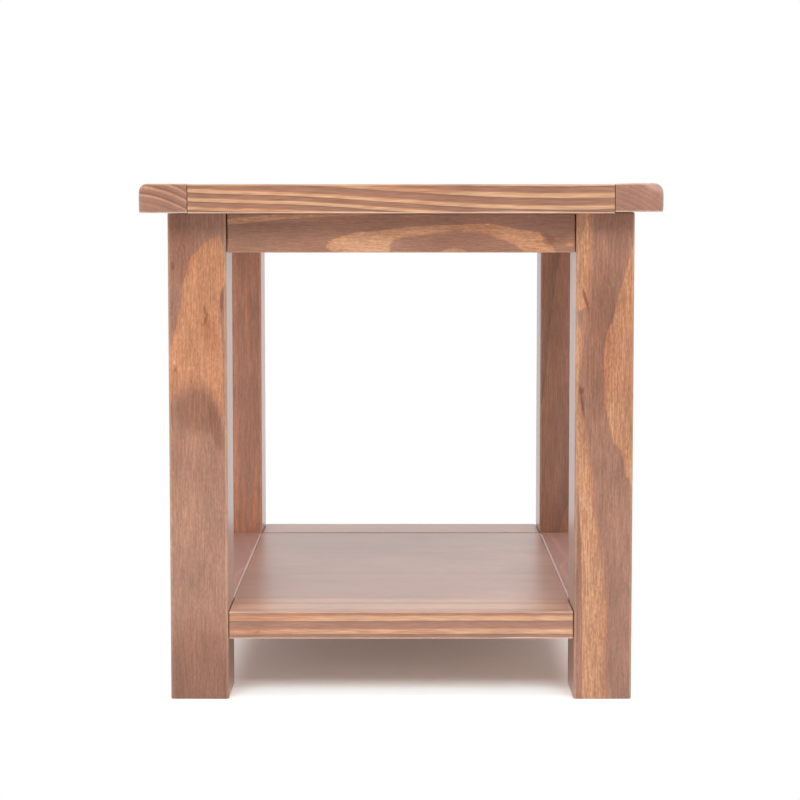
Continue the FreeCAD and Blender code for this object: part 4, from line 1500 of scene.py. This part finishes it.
# %% [markdown]
# ### The floor
# The floor is a sheet of white paper, which throws light back up at the table. To the eye it has to
# be white up to the horizon, and still keep the table's shadow. So rays that show it meet a lighter
# paper near the table, which comes out white in the open and grey where the table shades it, and
# further out a plain white that nothing shades. Under the table the paper is a little cooler, against
# the brown light that the wood sends down, and a faint warm glow lifts the deepest shadow.

# %% White paper
PAPER = (0.92, 0.92, 0.92, 1)  # white paper reflects this share of the light
LIGHTER_PAPER = (1.5, 1.5, 1.5, 1)  # as it is shown in the open
SHADED_PAPER = (1.36, 1.52, 1.57, 1)  # and under the table
GLOW = (1.0, 0.66, 0.42, 1)
UNDER_TABLE = (0.155, 0.2, 0)  # metres from the middle, to the side and to the front, that are shaded
SIDEWAYS = 2.5  # how many times faster the shadow fades to the side than forwards


def white_paper():
    """Paper that gives its own light back, and shows itself white with the table's shadow on it."""
    material, tree = new_material("white_paper")
    seen, by_camera = seen_by(tree)
    spot = add(tree, "TexCoord")
    outside = add(tree, "VectorMath", {0: spot.outputs["Object"]}, operation="ABSOLUTE")
    beyond = add(tree, "VectorMath", {0: outside, 1: UNDER_TABLE}, operation="SUBTRACT")
    beyond = add(tree, "VectorMath", {0: beyond, 1: (0, 0, 0)}, operation="MAXIMUM")
    beyond = add(tree, "VectorMath", {0: beyond, 1: (SIDEWAYS, 1, 0)}, operation="MULTIPLY")
    away = add(tree, "VectorMath", {0: beyond}, operation="LENGTH").outputs["Value"]

    in_open = add(tree, "MapRange", {0: away, 1: 0.03, 2: 0.1}, interpolation_type="SMOOTHSTEP")
    tint = add(tree, "Mix", {0: in_open, 6: SHADED_PAPER, 7: LIGHTER_PAPER}, data_type="RGBA")
    lighter = add(tree, "BsdfDiffuse", {"Color": tint.outputs[2]})
    glow = add(tree, "Emission", {"Color": GLOW, "Strength": 0.072})
    near = add(tree, "AddShader", {0: lighter, 1: glow})

    forwards = add(tree, "SeparateXYZ", {0: spot.outputs["Object"]}).outputs["Y"]
    lit = add(tree, "MapRange", {0: forwards, 1: -2.2, 2: -0.9, 3: UNLIT, 4: 1.0})
    lit = add(tree, "Math", {0: lit, 1: by_camera}, operation="MAXIMUM")
    white = add(tree, "Emission", {"Color": (1, 1, 1, 1), "Strength": lit})
    far = add(tree, "MapRange", {0: away, 1: 0.04, 2: 0.25}, interpolation_type="SMOOTHSTEP")
    shown = add(tree, "MixShader", {0: far, 1: near, 2: white})
    sheet = add(tree, "BsdfDiffuse", {"Color": PAPER})
    add(tree, "OutputMaterial", {"Surface": add(tree, "MixShader", {0: seen, 1: sheet, 2: shown})})
    return material


paper = white_paper()
print("the shadow under the table is kept over", 2 * UNDER_TABLE[0], "by", 2 * UNDER_TABLE[1], "m")

# %% [markdown]
# The floor itself is one large square, far wider than the camera sees.

# %% The floor
REACH = 8  # metres from the table to the edge of the floor

floor_mesh = bpy.data.meshes.new("floor")
square_floor = [(-REACH, -REACH, 0), (REACH, -REACH, 0), (REACH, REACH, 0), (-REACH, REACH, 0)]
floor_mesh.from_pydata(square_floor, [], [(0, 1, 2, 3)])
floor = bpy.data.objects.new("floor", floor_mesh)
bpy.context.scene.collection.objects.link(floor)
floor_mesh.materials.append(paper)
print("the floor is", 2 * REACH, "m wide")

# %% [markdown]
# ## The end of the notebook
# The Standard view shows colours as they are written. The dressed table has to stay inside the box of
# the CAD model.

# %% View
bpy.context.scene.view_settings.view_transform = "Standard"
